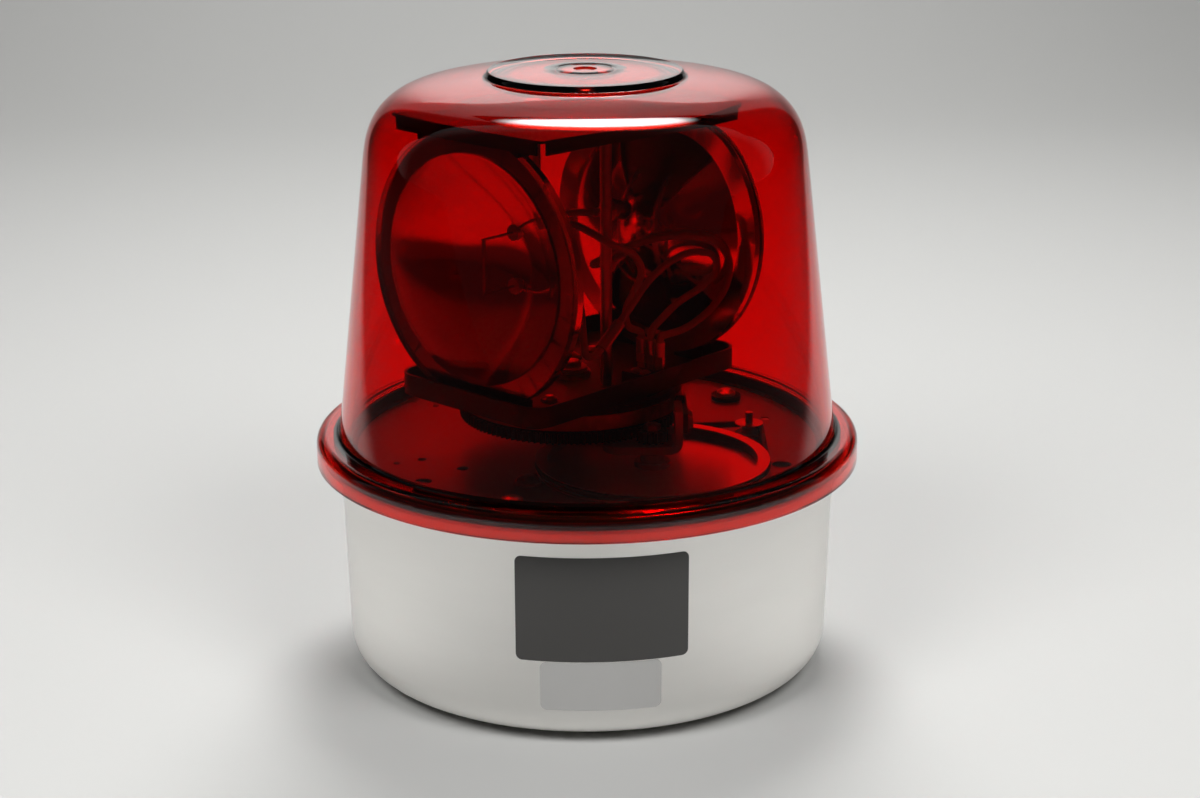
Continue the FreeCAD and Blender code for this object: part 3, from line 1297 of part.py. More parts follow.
def make_motor():
    top = size("rim_height - stack_drop")
    tall = size("stack_height")
    body = new_body("motor_stack")
    body.Placement = motor_place(z=top - tall)
    sketch = new_sketch(body, "XY_Plane", "Lamination")
    outline(sketch, rectangle("-stack_back", "-stack_half_width", "stack_front",
                              "stack_half_width"))
    circles(sketch, [(0, 0, "armature_radius + air_gap"),
                     (0, "motor_screw_pitch / 2", "motor_screw_radius + 0.1"),
                     (0, "-motor_screw_pitch / 2", "motor_screw_radius + 0.1")])
    pad(body, sketch, "stack_height")
    window = new_sketch(body, "XY_Plane", "Window")
    outline(window, rectangle("-stack_back + core_width", "-window_half_width",
                              "-stack_back + core_width + window_length",
                              "window_half_width"))
    pocket(body, window)
    keep("motor_stack", body)

    middle = size("-stack_back + core_width / 2")
    core_x = size("core_width / 2 + 0.1")
    core_z = tall / 2 + 0.1
    wall = size("bobbin_wall")
    thick = size("coil_thickness")
    long = size("coil_half_length")

    def sleeve(grow, length):
        half_x, half_z = core_x + grow, core_z + grow
        return Part.makeBox(2 * half_x, 2 * length, 2 * half_z,
                            Vector(-half_x, -length, -half_z))

    former = sleeve(wall, long + wall)
    for sign in (-1, 1):
        flange = sleeve(wall + thick, wall / 2)
        flange.translate(Vector(0, sign * (long + wall / 2), 0))
        former = former.fuse(flange)
    former = former.cut(sleeve(0, 60))
    solid_feature("motor_bobbin", former, motor_place(middle, 0, top - tall / 2))
    winding = sleeve(wall + thick - 0.4, long).cut(sleeve(wall, 60))
    solid_feature("motor_coil", winding, motor_place(middle, 0, top - tall / 2))

    rise = "bridge_rise"
    sheet_thick = "bridge_thickness"
    bridges = []
    bearings = []
    for place, flip in ((top, 0), (top - tall, 180)):
        turn = Rotation(Vector(1, 0, 0), flip)
        strap = new_body("bridge")
        strap.Placement = motor_place(z=place, rotation=turn)
        profile = new_sketch(strap, "YZ_Plane", "Strap")
        outline(profile, [
            ("-stack_half_width", 0), (-17, 0), (-17, "%s - %s" % (rise, sheet_thick)),
            (17, "%s - %s" % (rise, sheet_thick)), (17, 0), ("stack_half_width", 0),
            ("stack_half_width", sheet_thick), (19, sheet_thick), (19, rise), (-19, rise),
            (-19, sheet_thick), ("-stack_half_width", sheet_thick)])
        pad(strap, profile, "bridge_width", both_ways=True)
        holes = new_sketch(strap, "XY_Plane", "Holes")
        circles(holes, [(0, 0, "bearing_radius"),
                        (0, "motor_screw_pitch / 2", "motor_screw_radius + 0.1"),
                        (0, "-motor_screw_pitch / 2", "motor_screw_radius + 0.1")])
        pocket(strap, holes)
        bridges.append(strap)
        bearing = tube("bearing", "shaft_radius + run_gap", "bearing_radius",
                       "bridge_rise - 4.5", "bridge_rise + 1.5")
        bearing.Placement = motor_place(z=place, rotation=turn)
        bearings.append(bearing)
    keep("motor_upper_bridge", bridges[0])
    keep("motor_lower_bridge", bridges[1])
    group("motor_bearings", bearings)

    armature = tube("motor_rotor", "shaft_radius", "armature_radius", -1, "stack_height + 1")
    armature.Placement = motor_place(z=top - tall)
    keep("motor_rotor", armature)
    screws = []
    spacers = []
    for sign in (-1, 1):
        y = "%d * motor_screw_pitch / 2" % sign
        length = "deck_thickness + stack_drop + stack_height + bridge_thickness - fit_gap"
        long_screw = round_screw("screw", "motor_screw_radius", length, 3.6, 2.4)
        long_screw.Placement = motor_place(0, y, "rim_height - stack_drop - stack_height"
                                           " - bridge_thickness",
                                           Rotation(Vector(1, 0, 0), 180))
        screws.append(long_screw)
        spacer = tube("spacer", "motor_screw_radius + 0.1", 4.2, "bridge_thickness",
                      "stack_drop")
        spacer.Placement = motor_place(0, y, top)
        spacers.append(spacer)
    group("motor_screws", screws)
    group("motor_spacers", spacers)


# ---- supply leads -------------------------------------------------------------------------------

def make_supply_leads():
    outside = size("wheel_x + bracket_right + bracket_bend")
    high = size("bracket_height + bracket_leg - 5")
    members = []
    for number, path in enumerate([
            [(27, 0, 12), (27, 0, 26), (18, 6, 38), (7, 14, 52), (7, 22, 66),
             (16.8, 19.3, 68.1)],
            [(35, 0, 12), (35, 0, 26), (18, -10, 40), (-8, -8, 52), (-17, 6, 66), (-17, 12, 80),
             (-17, 12, 104.9), (-18, -13, 104.9), (24, -34, 104.9),
             (outside - 1.8, -33.8, 104.9), (outside - 1.8, -33.8, 110),
             (outside + 0.8, -33.2, high)]]):
        feature = doc.addObject("Part::Feature", "Lead")
        feature.Shape = lead([Vector(*point) for point in path], 1.1 if number == 0 else 0.9)
        members.append(feature)
    group("supply_leads", members)
    body = new_body("supply_block", 31, 0, "base_pad_height + cup_wall")
    sketch = new_sketch(body, "XY_Plane", "Block")
    outline(sketch, rectangle(-10, -8, 10, 8))
    pad(body, sketch, 13)
    holes = new_sketch(body, "XY_Plane", "Holes")
    circles(holes, [(-4, 0, 1.3), (4, 0, 1.3)])
    pocket(body, holes, through=False, length=20, reverse=True)
    keep("supply_block", body)


def build():
    make_base_pad()
    make_base_cup()
    make_dome()
    make_deck()
    make_seal()
    make_deck_fixing()
    make_cable_grommet()
    make_post()
    make_spindle_bracket()
    make_wheel()
    make_pulley()
    make_belt()
    make_gears()
    make_turntable()
    make_cap()
    make_rods()
    make_lamp("front")
    make_lamp("rear")
    make_saddles()
    make_lamp_leads()
    make_terminal_block()
    make_brush()
    make_motor()
    make_supply_leads()


def check_document():
    problems = []
    for item in doc.Objects:
        if "Invalid" in item.State or "Error" in item.State:
            problems.append("%s %s" % (item.Label, item.State))
    for label, feature in nodes.items():
        shape = feature.Shape
        if shape.isNull() or not shape.isValid() or not shape.Solids:
            problems.append("%s has no valid solid" % label)
    if problems:
        raise RuntimeError("; ".join(problems))


build()
doc.recompute()
check_document()
os.makedirs("parts", exist_ok=True)
for label, feature in nodes.items():
    feature.Shape.exportStep("parts/%s.step" % label)
print("wrote %d sub-parts" % len(nodes))
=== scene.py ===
"""Looks of the rotating beacon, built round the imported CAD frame. Metres, +Z up."""

import json
import math

import bmesh
import bpy
from mathutils import Matrix, Vector


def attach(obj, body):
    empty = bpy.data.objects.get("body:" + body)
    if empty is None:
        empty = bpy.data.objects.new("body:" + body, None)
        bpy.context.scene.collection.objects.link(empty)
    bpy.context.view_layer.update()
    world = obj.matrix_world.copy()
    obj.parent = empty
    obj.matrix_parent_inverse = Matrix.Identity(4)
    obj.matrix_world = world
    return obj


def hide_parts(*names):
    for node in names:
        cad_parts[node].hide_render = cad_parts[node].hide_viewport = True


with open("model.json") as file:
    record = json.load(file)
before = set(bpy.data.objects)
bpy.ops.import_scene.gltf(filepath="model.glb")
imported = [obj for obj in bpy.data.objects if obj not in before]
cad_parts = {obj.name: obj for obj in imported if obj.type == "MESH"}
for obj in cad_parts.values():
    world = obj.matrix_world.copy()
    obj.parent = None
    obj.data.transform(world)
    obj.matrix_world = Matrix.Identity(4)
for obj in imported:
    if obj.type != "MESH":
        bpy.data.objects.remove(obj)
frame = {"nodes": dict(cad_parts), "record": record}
NODES = frame["nodes"]
SLOTS = {entry["node"]: entry["material_slot"] for entry in frame["record"]["subparts"]}
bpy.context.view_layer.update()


def mm(value):
    return value / 1000.0


# ---- shader helpers -----------------------------------------------------------------------------

def feed(tree, socket, value):
    """Link an output to a socket, or set the socket to a plain value."""
    if isinstance(value, bpy.types.NodeSocket):
        tree.links.new(value, socket)
    else:
        socket.default_value = value


def add(tree, kind, **values):
    """A new node. Each value goes to the socket of that name (underscores for spaces), or to
    the node's property when it has no such socket."""
    item = tree.nodes.new(kind)
    for key, value in values.items():
        socket = item.inputs.get(key.replace("_", " "))
        if socket is None:
            setattr(item, key, value)
        else:
            feed(tree, socket, value)
    return item


def maths(tree, operation, *values):
    item = add(tree, "ShaderNodeMath", operation=operation)
    for socket, value in zip(item.inputs, values):
        feed(tree, socket, value)
    return item.outputs["Value"]


def ramp(tree, factor, low, high, interpolation="LINEAR"):
    """A colour ramp between two stops, each given as (position, colour)."""
    item = add(tree, "ShaderNodeValToRGB", Fac=factor)
    item.color_ramp.interpolation = interpolation
    for stop, (position, color) in zip(item.color_ramp.elements, (low, high)):
        stop.position = position
        stop.color = (*color, 1.0)
    return item.outputs["Color"]


def object_noise(tree, scale, detail, stretch):
    where = add(tree, "ShaderNodeTexCoord")
    place = add(tree, "ShaderNodeMapping", Vector=where.outputs["Object"], Scale=stretch)
    noise = add(tree, "ShaderNodeTexNoise", Vector=place.outputs["Vector"], Scale=scale,
                Detail=detail)
    return noise.outputs["Fac"]


def ball_gradient(tree, **mapping):
    """1 in the middle of a ball in object coordinates, 0 at its surface."""
    where = add(tree, "ShaderNodeTexCoord")
    place = add(tree, "ShaderNodeMapping", Vector=where.outputs["Object"], **mapping)
    ball = add(tree, "ShaderNodeTexGradient", gradient_type="SPHERICAL",
               Vector=place.outputs["Vector"])
    return ball.outputs["Fac"]


# ---- materials ----------------------------------------------------------------------------------

def material(name, color, rough=0.5, metal=0.0, **sockets):
    """A Principled material; extra sockets are given by name with underscores for spaces."""
    made = bpy.data.materials.new(name)
    made.use_nodes = True
    shader = made.node_tree.nodes["Principled BSDF"]
    shader.inputs["Base Color"].default_value = (*color, 1.0)
    shader.inputs["Roughness"].default_value = rough
    shader.inputs["Metallic"].default_value = metal
    for key, value in sockets.items():
        shader.inputs[key.replace("_", " ")].default_value = value
    return made


def grain(made, scale, strength, stretch=(1, 1, 1)):
    """Fine surface relief."""
    tree = made.node_tree
    noise = object_noise(tree, scale, 4.0, stretch)
    bump = add(tree, "ShaderNodeBump", Strength=strength, Distance=mm(0.2), Height=noise)
    feed(tree, tree.nodes["Principled BSDF"].inputs["Normal"], bump.outputs["Normal"])


def mottle(made, scale, low, high, stretch=(1, 1, 1)):
    """Slow variation between two colours over the surface."""
    tree = made.node_tree
    color = ramp(tree, object_noise(tree, scale, 5.0, stretch), (0.35, low), (0.65, high))
    feed(tree, tree.nodes["Principled BSDF"].inputs["Base Color"], color)


# name: (colour, roughness, and metallic where it isn't 0)
LOOKS = {
    "cup_aluminium": ((0.93, 0.915, 0.885), 0.44, 1.0),
    "deck_aluminium": ((0.27, 0.265, 0.26), 0.42, 1.0),
    "wheel_aluminium": ((0.80, 0.79, 0.77), 0.28, 1.0),
    "bracket_steel": ((0.56, 0.56, 0.55), 0.36, 1.0),
    "zinc_steel": ((0.62, 0.62, 0.60), 0.32, 1.0),
    "lamination_steel": ((0.20, 0.20, 0.21), 0.45, 1.0),
    "bronze": ((0.45, 0.26, 0.12), 0.38, 1.0),
    "brass_part": ((0.66, 0.50, 0.24), 0.30, 1.0),
    "tinned_brass": ((0.72, 0.68, 0.58), 0.30, 1.0),
    "filament_metal": ((0.60, 0.60, 0.60), 0.25, 1.0),
    "lamp_mirror": ((0.93, 0.93, 0.92), 0.11, 1.0),
    "black_paint": ((0.018, 0.018, 0.018), 0.38),
    "black_plastic": ((0.018, 0.018, 0.018), 0.42),
    "black_rubber": ((0.02, 0.02, 0.02), 0.65),
    "belt_rubber": ((0.10, 0.085, 0.07), 0.6),
    "phenolic": ((0.10, 0.055, 0.035), 0.4),
    "carbon": ((0.03, 0.03, 0.03), 0.5),
    "coil_wrap": ((0.34, 0.20, 0.05), 0.45),
    "lead_jacket": ((0.52, 0.50, 0.46), 0.35),
    "plate_black": ((0.046, 0.044, 0.042), 0.42),
    "plate_grey": ((0.40, 0.395, 0.385), 0.45),
}
BRUSHED = (0.1, 1, 1)


def make_materials():
    made = {name: material(name, *look) for name, look in LOOKS.items()}
    made["red_dome"] = material("red_dome", (0.86, 0.022, 0.012), 0.0, IOR=1.49,
                                Transmission_Weight=1.0)
    made["lamp_glass"] = material("lamp_glass", (0.97, 0.98, 0.98), 0.0, IOR=1.47,
                                  Transmission_Weight=1.0)
    mottle(made["cup_aluminium"], 9.0, (0.92, 0.905, 0.875), (0.94, 0.925, 0.895),
           stretch=(1, 1, 6))
    mottle(made["zinc_steel"], 400.0, (0.56, 0.56, 0.55), (0.66, 0.66, 0.64))
    mottle(made["bronze"], 250.0, (0.36, 0.21, 0.10), (0.52, 0.31, 0.15))
    grain(made["cup_aluminium"], 1400.0, 0.05)
    grain(made["deck_aluminium"], 700.0, 0.05, stretch=BRUSHED)
    grain(made["bracket_steel"], 900.0, 0.06, stretch=BRUSHED)
    grain(made["black_rubber"], 1500.0, 0.08)
    grain(made["black_plastic"], 1200.0, 0.05)
    grain(made["black_paint"], 900.0, 0.08)
    return made


MATERIALS = make_materials()


# ---- mesh helpers -------------------------------------------------------------------------------

def smooth(mesh, angle):
    """Shade smooth, with edges sharper than the angle in degrees kept sharp."""
    mesh.polygons.foreach_set("use_smooth", [True] * len(mesh.polygons))
    mesh.set_sharp_from_angle(angle=math.radians(angle))


def mesh_object(name, data, surface):
    """Turn a bmesh into an object with one material."""
    mesh = bpy.data.meshes.new(name)
    data.to_mesh(mesh)
    data.free()
    mesh.materials.append(surface)
    thing = bpy.data.objects.new(name, mesh)
    bpy.context.scene.collection.objects.link(thing)
    return thing


def finish_piece(name, data, body, slot_name, smooth_angle=35.0):
    """Turn a bmesh into a piece that rides a body and takes a slot's material."""
    bmesh.ops.recalc_face_normals(data, faces=data.faces)
    thing = mesh_object(name, data, MATERIALS[slot_name])
    smooth(thing.data, smooth_angle)
    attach(thing, body)
    return thing


def arc(centre, radius, start, end, steps=10):
    """Points of an arc in the radius-height plane, angles in degrees."""
    points = []
    for index in range(steps + 1):
        angle = math.radians(start + (end - start) * index / steps)
        points.append((centre[0] + radius * math.cos(angle),
                       centre[1] + radius * math.sin(angle)))
    return points


ON_AXIS = 1e-6


def lathe(name, profile, body, slot_name, smooth_angle=35.0, steps=256):
    """A turned piece: closed profile of (radius, height) in mm round the Z axis. A point on
    the axis becomes one vertex."""
    data = bmesh.new()
    rings = []
    for radius, height in profile:
        turns = steps if radius > ON_AXIS else 1
        angles = [2 * math.pi * step / turns for step in range(turns)]
        rings.append([data.verts.new((mm(radius * math.cos(angle)),
                                      mm(radius * math.sin(angle)), mm(height)))
                      for angle in angles])
    for one, two in zip(rings, rings[1:] + rings[:1]):
        if len(one) == 1 and len(two) == 1:
            continue
        for step in range(steps):
            after = (step + 1) % steps
            if len(one) == 1:
                data.faces.new((one[0], two[step], two[after]))
            elif len(two) == 1:
                data.faces.new((one[step], one[after], two[0]))
            else:
                data.faces.new((one[step], one[after], two[after], two[step]))
    return finish_piece(name, data, body, slot_name, smooth_angle)


# ---- CAD nodes ----------------------------------------------------------------------------------

def dress_cad_nodes():
    for name, thing in NODES.items():
        thing.data.materials.clear()
        thing.data.materials.append(MATERIALS[SLOTS[name]])
        smooth(thing.data, 30)


dress_cad_nodes()


# ---- dome ---------------------------------------------------------------------------------------

# Sizes in mm; heights are from the floor, as in the CAD part.
FLANGE_LOW = 100.1
FLANGE_TOP = 103.1
FLANGE_RADIUS = 114.3
FLANGE_BEND = 4.4
SKIRT_LOW = 91.2
SKIRT_CHAMFER = 0.4
FILLET = 1.6
DOME_WALL = 3.0
DOME_FOOT = 104.5
DOME_DRAFT = 16.1
DRAFT_HEIGHT = 141.7
SHOULDER = 26.2
CROWN_RADIUS = 438.0
CROWN_TOP = 253.7
CROWN_CENTRE = CROWN_TOP - CROWN_RADIUS
DISC_RADIUS = 40.4
DISC_TOP = 254.55
DISC_LIFT = 0.85
DISC_MARGIN = 1.2
# Soft edge of the disc, as (past the disc's radius, above the crown there).
DISC_EDGE = ((0.7, -0.02), (0.2, 0.4), (0.0, 1.0), (-0.15, 1.7), (-0.9, 2.3))
DISC_RINGS = (36, 30, 24, 18, 13.2, 12.6, 12.0, 11.4, 8.0, 5.2, 4.8)
# A fine ring and the gate mark that moulding leaves in the middle of the disc.
RING_MARK = (12.6, 12.0)
RING_MARK_DEPTH = 0.35
GATE_RADIUS = 4.6
GATE_TOP = 253.9


def crown_height(radius):
    return CROWN_CENTRE + math.sqrt(CROWN_RADIUS ** 2 - radius ** 2)


def dome_profile(inset):
    """Outer (inset 0) or inner (inset = wall) line of the dome, from foot to apex, in mm."""
    taper = math.atan2(DOME_DRAFT, DRAFT_HEIGHT)
    across, up = math.cos(taper), math.sin(taper)
    wall_reach = DOME_FOOT * across + FLANGE_TOP * up - inset
    crown = CROWN_RADIUS - inset
    shoulder = SHOULDER - inset

    def wall_radius(height, reach):
        return (reach - up * height) / across

    # The shoulder's centre is where wall and crown are both one shoulder radius away.
    low, high = 180.0, 250.0
    for _ in range(60):
        height = (low + high) / 2
        radius = wall_radius(height, wall_reach - shoulder)
        if math.hypot(radius, height - CROWN_CENTRE) < crown - shoulder:
            low = height
        else:
            high = height
    centre = (wall_radius(height, wall_reach - shoulder), height)
    wall_top = height + shoulder * up
    crown_start = math.degrees(math.atan2(height - CROWN_CENTRE, centre[0]))

    wall_steps = 12
    heights = [FLANGE_TOP + (wall_top - FLANGE_TOP) * step / wall_steps
               for step in range(wall_steps + 1)]
    points = [(wall_radius(height, wall_reach), height) for height in heights]
    points += arc(centre, shoulder, math.degrees(taper), crown_start, 18)[1:]
    points += arc((0, CROWN_CENTRE), crown, crown_start, 90.0, 26)[1:]
    return points


def eased(points, spacing=1.0, rounds=50):
    """The same line with gentler changes of curvature, as on a moulded dome."""
    even = [points[0]]
    for target in points[1:]:
        while math.dist(even[-1], target) > spacing:
            gap = math.dist(even[-1], target)
            even.append(tuple(a + (b - a) * spacing / gap for a, b in zip(even[-1], target)))
    even.append(points[-1])
    for _ in range(rounds):
        middle = [tuple(0.25 * a + 0.5 * b + 0.25 * c for a, b, c in zip(*three))
                  for three in zip(even, even[1:], even[2:])]
        even = [even[0]] + middle + [even[-1]]
    return even


def crown_line():
    """Outer line of the dome from its foot to the axis, with the raised disc on the crown."""
    line = [(radius, height) for radius, height in eased(dome_profile(0.0))
            if radius > DISC_RADIUS + DISC_MARGIN]
    step_low = crown_height(DISC_RADIUS)
    line += [(DISC_RADIUS + out, step_low + up) for out, up in DISC_EDGE]
    for radius in DISC_RINGS:
        dent = RING_MARK_DEPTH if radius in RING_MARK else 0.0
        line.append((radius, min(crown_height(radius) + DISC_LIFT, DISC_TOP) - dent))
    return line + [(GATE_RADIUS, GATE_TOP), (0.0, GATE_TOP)]


def make_dome():
    inside = FLANGE_RADIUS - DOME_WALL
    foot_inside = DOME_FOOT - DOME_WALL
    profile = [(foot_inside, FLANGE_LOW), (inside - FILLET, FLANGE_LOW)]
    profile += arc((inside - FILLET, FLANGE_LOW - FILLET), FILLET, 90, 0, 5)[1:]
    profile += [(inside, SKIRT_LOW + SKIRT_CHAMFER), (inside + SKIRT_CHAMFER, SKIRT_LOW),
                (FLANGE_RADIUS - SKIRT_CHAMFER, SKIRT_LOW),
                (FLANGE_RADIUS, SKIRT_LOW + SKIRT_CHAMFER)]
    profile += arc((FLANGE_RADIUS - FLANGE_BEND, FLANGE_TOP - FLANGE_BEND), FLANGE_BEND, 0, 90)
    # This fillet ends at 186 degrees, about where the tapered wall starts.
    profile += arc((DOME_FOOT + FILLET, FLANGE_TOP + FILLET), FILLET, 270, 186, 5)
    profile += crown_line()[1:]
    profile += list(reversed(eased(dome_profile(DOME_WALL))))[:-1]
    profile += [(foot_inside - 0.2, FLANGE_TOP - 0.5)]
    dome = lathe("dome", profile, "base", "red_dome", smooth_angle=40)
    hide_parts("dome_lens")


make_dome()


# ---- cup and its plates -------------------------------------------------------------------------

CUP_LOW = 2.4
CUP_WALL = 2.0
CUP_BEND = 14.0
CUP_FOOT = 88.0
CUP_BELLY = CUP_FOOT + CUP_BEND
CUP_TOP = 92.9
CUP_TOP_RADIUS = 104.2
ENTRY_RADIUS = 11.1
# The rim: its underside from the wall outward, its edge, and its top back to the bore.
CUP_RIM = ((CUP_TOP_RADIUS, CUP_TOP), (104.9, 93.6), (105.6, 93.9), (110.0, 93.9),
           (110.3, 94.2), (110.3, 95.6), (110.0, 95.9), (102.8, 95.9))


def make_cup():
    bend_height = CUP_LOW + CUP_BEND
    profile = [(ENTRY_RADIUS, CUP_LOW), (CUP_FOOT, CUP_LOW)]
    profile += arc((CUP_FOOT, bend_height), CUP_BEND, -90, 0, 16)[1:]
    profile += CUP_RIM
    profile += [(CUP_BELLY - CUP_WALL, bend_height)]
    profile += arc((CUP_FOOT, bend_height), CUP_BEND - CUP_WALL, 0, -90, 12)[1:]
    profile += [(ENTRY_RADIUS, CUP_LOW + CUP_WALL)]
    cup = lathe("cup", profile, "base", "cup_aluminium")
    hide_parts("base_cup")


make_cup()


def cup_radius(height):
    """Outside of the cup's flared wall."""
    low = CUP_LOW + CUP_BEND
    return CUP_BELLY + (CUP_TOP_RADIUS - CUP_BELLY) * (height - low) / (CUP_TOP - low)


# Inner and outer face of a plate, above the cup's wall.
PLATE_LEVELS = (0.02, 0.12)
PLATE_CORNER = 2.6


def make_plate(name, slot_name, azimuth, height, width, tall):
    """A thin bare plate bent round the cup; azimuth from the front in degrees."""
    corner_steps, flat_steps = 8, 24
    corner = PLATE_CORNER
    half = width / 2
    edge = [-half + corner * (1 - math.cos(math.pi / 2 * step / corner_steps))
            for step in range(corner_steps + 1)]
    flat = [edge[-1] + (width - 2 * corner) * step / flat_steps
            for step in range(1, flat_steps)]
    across = edge + flat + [-value for value in reversed(edge)]
    data = bmesh.new()

    def point(value, z, level):
        radius = cup_radius(z) + level
        angle = math.radians(azimuth) + value / radius
        return data.verts.new((mm(radius * math.sin(angle)), -mm(radius * math.cos(angle)),
                               mm(z)))

    layers = []
    for level in PLATE_LEVELS:
        upper, lower = [], []
        for value in across:
            cut = max(0.0, abs(value) - (half - corner))
            tip = tall / 2 - corner + math.sqrt(max(0.0, corner ** 2 - cut ** 2))
            upper.append(point(value, height + tip, level))
            lower.append(point(value, height - tip, level))
        layers.append((upper, lower))
    (up_in, low_in), (up_out, low_out) = layers
    for one, two in ((up_in, low_in), (up_out, low_out), (up_in, up_out), (low_in, low_out)):
        for left in range(len(across) - 1):
            right = left + 1
            data.faces.new((one[left], two[left], two[right], one[right]))
    for end in (0, -1):
        data.faces.new((up_in[end], low_in[end], low_out[end], up_out[end]))
    finish_piece(name, data, "base", slot_name)


make_plate("black_plate", "plate_black", azimuth=3.2, height=59.6, width=69.5, tall=44.2)
make_plate("grey_plate", "plate_grey", azimuth=2.8, height=26.9, width=48.5, tall=20.6)


# ---- stage --------------------------------------------------------------------------------------

BLACK, WHITE = (0.0, 0.0, 0.0), (1.0, 1.0, 1.0)
SHEET_COLOR = (0.45, 0.45, 0.44)
TABLE_COLOR = (0.045, 0.042, 0.04)
GLOW_COLOR = (1.0, 1.0, 0.985)


def sheet_cover(tree):
    """1 on the pale sheet and 0 on the dark table, with soft borders. The sheet starts in front
    of the object and widens toward the back."""
    def border(value, sheet_from, table_from):
        item = add(tree, "ShaderNodeMapRange", interpolation_type="SMOOTHSTEP", Value=value,
                   From_Min=table_from, From_Max=sheet_from)
        return item.outputs["Result"]

    where = add(tree, "ShaderNodeTexCoord")
    axes = add(tree, "ShaderNodeSeparateXYZ", Vector=where.outputs["Object"])
    x, y = axes.outputs["X"], axes.outputs["Y"]
    aside = maths(tree, "SUBTRACT", maths(tree, "ABSOLUTE", x), maths(tree, "MULTIPLY", y, 0.28))
    return maths(tree, "MULTIPLY", border(y, -0.36, -0.52), border(aside, 0.42, 0.56))


def backdrop_material():
    """A pale sheet on a dark table. Seen, mirrored or looked through, it glows behind the
    object; it gives no light to what is diffuse."""
    made = material("pale_floor", SHEET_COLOR, 0.9)
    tree = made.node_tree
    sockets = tree.nodes["Principled BSDF"].inputs
    cover = add(tree, "ShaderNodeMix", data_type="RGBA", Factor=sheet_cover(tree),
                A=(*TABLE_COLOR, 1), B=(*SHEET_COLOR, 1))
    feed(tree, sockets["Base Color"], cover.outputs["Result"])

    ball = ball_gradient(tree, Location=(0.0, -1.19, -1.2), Scale=(1.25, 0.7, 1.6))
    feed(tree, sockets["Emission Color"], ramp(tree, ball, (0.0, BLACK), (1.0, GLOW_COLOR), "EASE"))
    path = add(tree, "ShaderNodeLightPath").outputs
    seen = maths(tree, "MAXIMUM", path["Is Camera Ray"], path["Is Glossy Ray"])
    seen = maths(tree, "MAXIMUM", seen, path["Is Transmission Ray"])
    feed(tree, sockets["Emission Strength"], seen)
    return made


def make_stage():
    """A floor that curves up into a wall behind the object. Lengths in metres."""
    front, curve_start, bend, top, half_width = -1.4, 1.2, 0.8, 4.0, 5.0
    profile = [(front, 0.0), (curve_start, 0.0)]
    profile += arc((curve_start, bend), bend, -90, 0, 12)[1:]
    profile.append((curve_start + bend, top))
    data = bmesh.new()
    rows = [(data.verts.new((-half_width, y, z)), data.verts.new((half_width, y, z)))
            for y, z in profile]
    for one, two in zip(rows, rows[1:]):
        data.faces.new((one[0], one[1], two[1], two[0]))
    bmesh.ops.recalc_face_normals(data, faces=data.faces)
    floor = mesh_object("floor", data, backdrop_material())
    floor.data.polygons.foreach_set("use_smooth", [True] * len(floor.data.polygons))


# ---- light --------------------------------------------------------------------------------------

def aim(thing, where, toward):
    thing.location = where
    direction = Vector(toward) - Vector(where)
    thing.rotation_euler = direction.to_track_quat("-Z", "Y").to_euler()


def softbox(name, where, toward, width, height, strength):
    """A glowing panel whose light falls off softly toward its edges."""
    glow = bpy.data.materials.new(name)
    glow.use_nodes = True
    tree = glow.node_tree
    tree.nodes.clear()
    color = ramp(tree, ball_gradient(tree, Scale=(2, 2, 2)), (0.0, BLACK), (0.75, WHITE), "EASE")
    light = add(tree, "ShaderNodeEmission", Color=color, Strength=strength)
    add(tree, "ShaderNodeOutputMaterial", Surface=light.outputs["Emission"])

    data = bmesh.new()
    corners = [(-0.5, -0.5), (0.5, -0.5), (0.5, 0.5), (-0.5, 0.5)]
    data.faces.new([data.verts.new((x, y, 0)) for x, y in corners])
    thing = mesh_object(name, data, glow)
    aim(thing, where, toward)
    thing.scale = (width, height, 1.0)


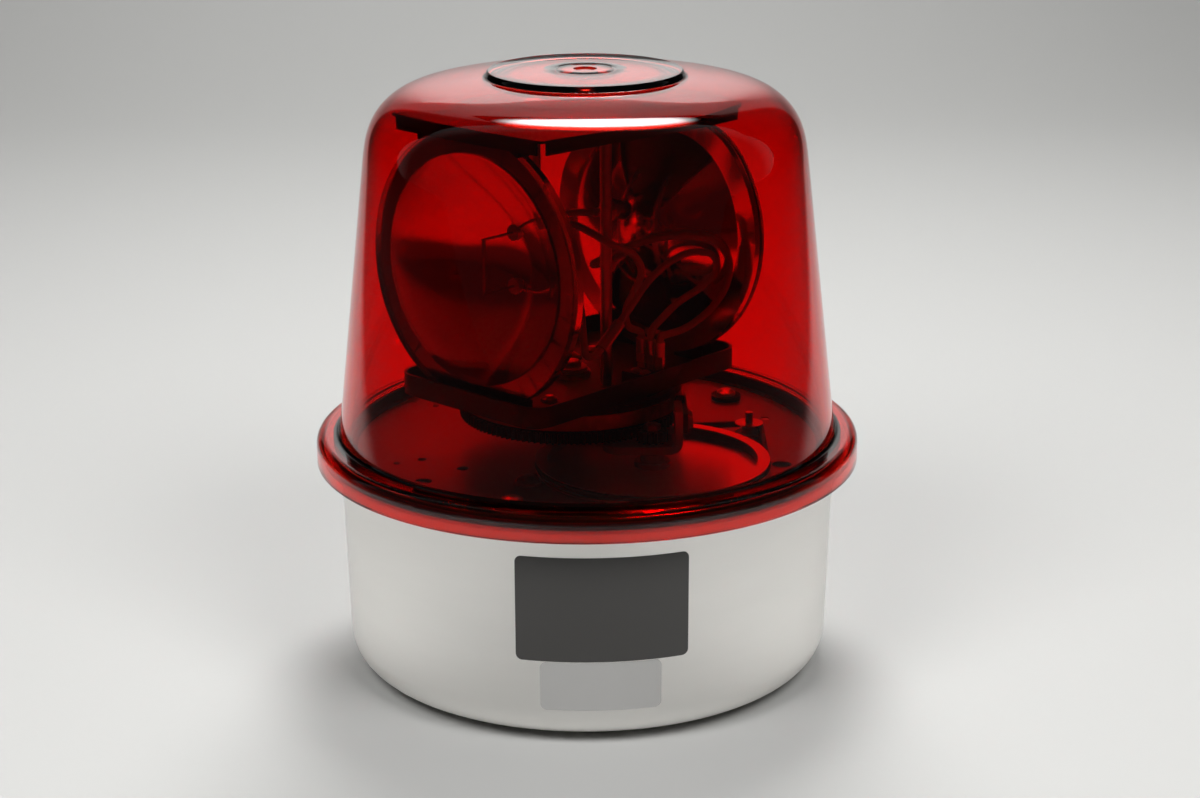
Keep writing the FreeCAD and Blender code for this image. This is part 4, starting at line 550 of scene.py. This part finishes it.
def area_light(name, where, toward, width, height, power):
    """A lamp that neither metal mirrors nor glass shows."""
    light = bpy.data.lights.new(name, "AREA")
    light.shape = "RECTANGLE"
    light.size = width
    light.size_y = height
    light.energy = power
    thing = bpy.data.objects.new(name, light)
    aim(thing, where, toward)
    thing.visible_glossy = False
    thing.visible_transmission = False
    bpy.context.scene.collection.objects.link(thing)


def make_world():
    """Dark in front of the object, where the camera is, and pale behind it."""
    scene = bpy.context.scene
    scene.view_settings.view_transform = "Standard"
    scene.world = bpy.data.worlds.new("studio")
    scene.world.use_nodes = True
    tree = scene.world.node_tree
    where = add(tree, "ShaderNodeTexCoord")
    axes = add(tree, "ShaderNodeSeparateXYZ", Vector=where.outputs["Generated"])
    spread = add(tree, "ShaderNodeMapRange", Value=axes.outputs["Y"], From_Min=-1.0)
    color = ramp(tree, spread.outputs["Result"], (0.60, (0.03, 0.029, 0.028)),
                 (0.88, (0.62, 0.62, 0.61)))
    feed(tree, tree.nodes["Background"].inputs["Color"], color)


def make_lights():
    softbox("back_softbox", (0.06, 0.66, 1.29), (0, 0, 0.24), 0.90, 0.60, 36.0)
    for side in (-1, 1):
        area_light("side_fill", (side * 0.55, -0.80, 1.15), (0, 0, 0), 0.6, 0.6, 13.0)
    area_light("backdrop_light", (-0.1, 1.75, 1.1), (-0.1, 1.9, 0.0), 1.0, 0.5, 5.5)


# ---- camera -------------------------------------------------------------------------------------

CAMERA_PLACE = (0.0, -1.0052, 0.4286)
CAMERA_PITCH = 0.3035
CAMERA_YAW = 0.0055
CAMERA_ROLL = 0.004


def make_camera():
    data = bpy.data.cameras.new("camera")
    data.lens = 74.70
    data.sensor_width = 36.0
    data.sensor_fit = "HORIZONTAL"
    thing = bpy.data.objects.new("camera", data)
    thing.location = CAMERA_PLACE
    turn = (Matrix.Rotation(-CAMERA_YAW, 4, "Z")
            @ Matrix.Rotation(math.pi / 2 - CAMERA_PITCH, 4, "X")
            @ Matrix.Rotation(-CAMERA_ROLL, 4, "Z"))
    thing.rotation_euler = turn.to_euler()
    bpy.context.scene.collection.objects.link(thing)
    bpy.context.scene.camera = thing


make_stage()
make_world()
make_lights()
make_camera()
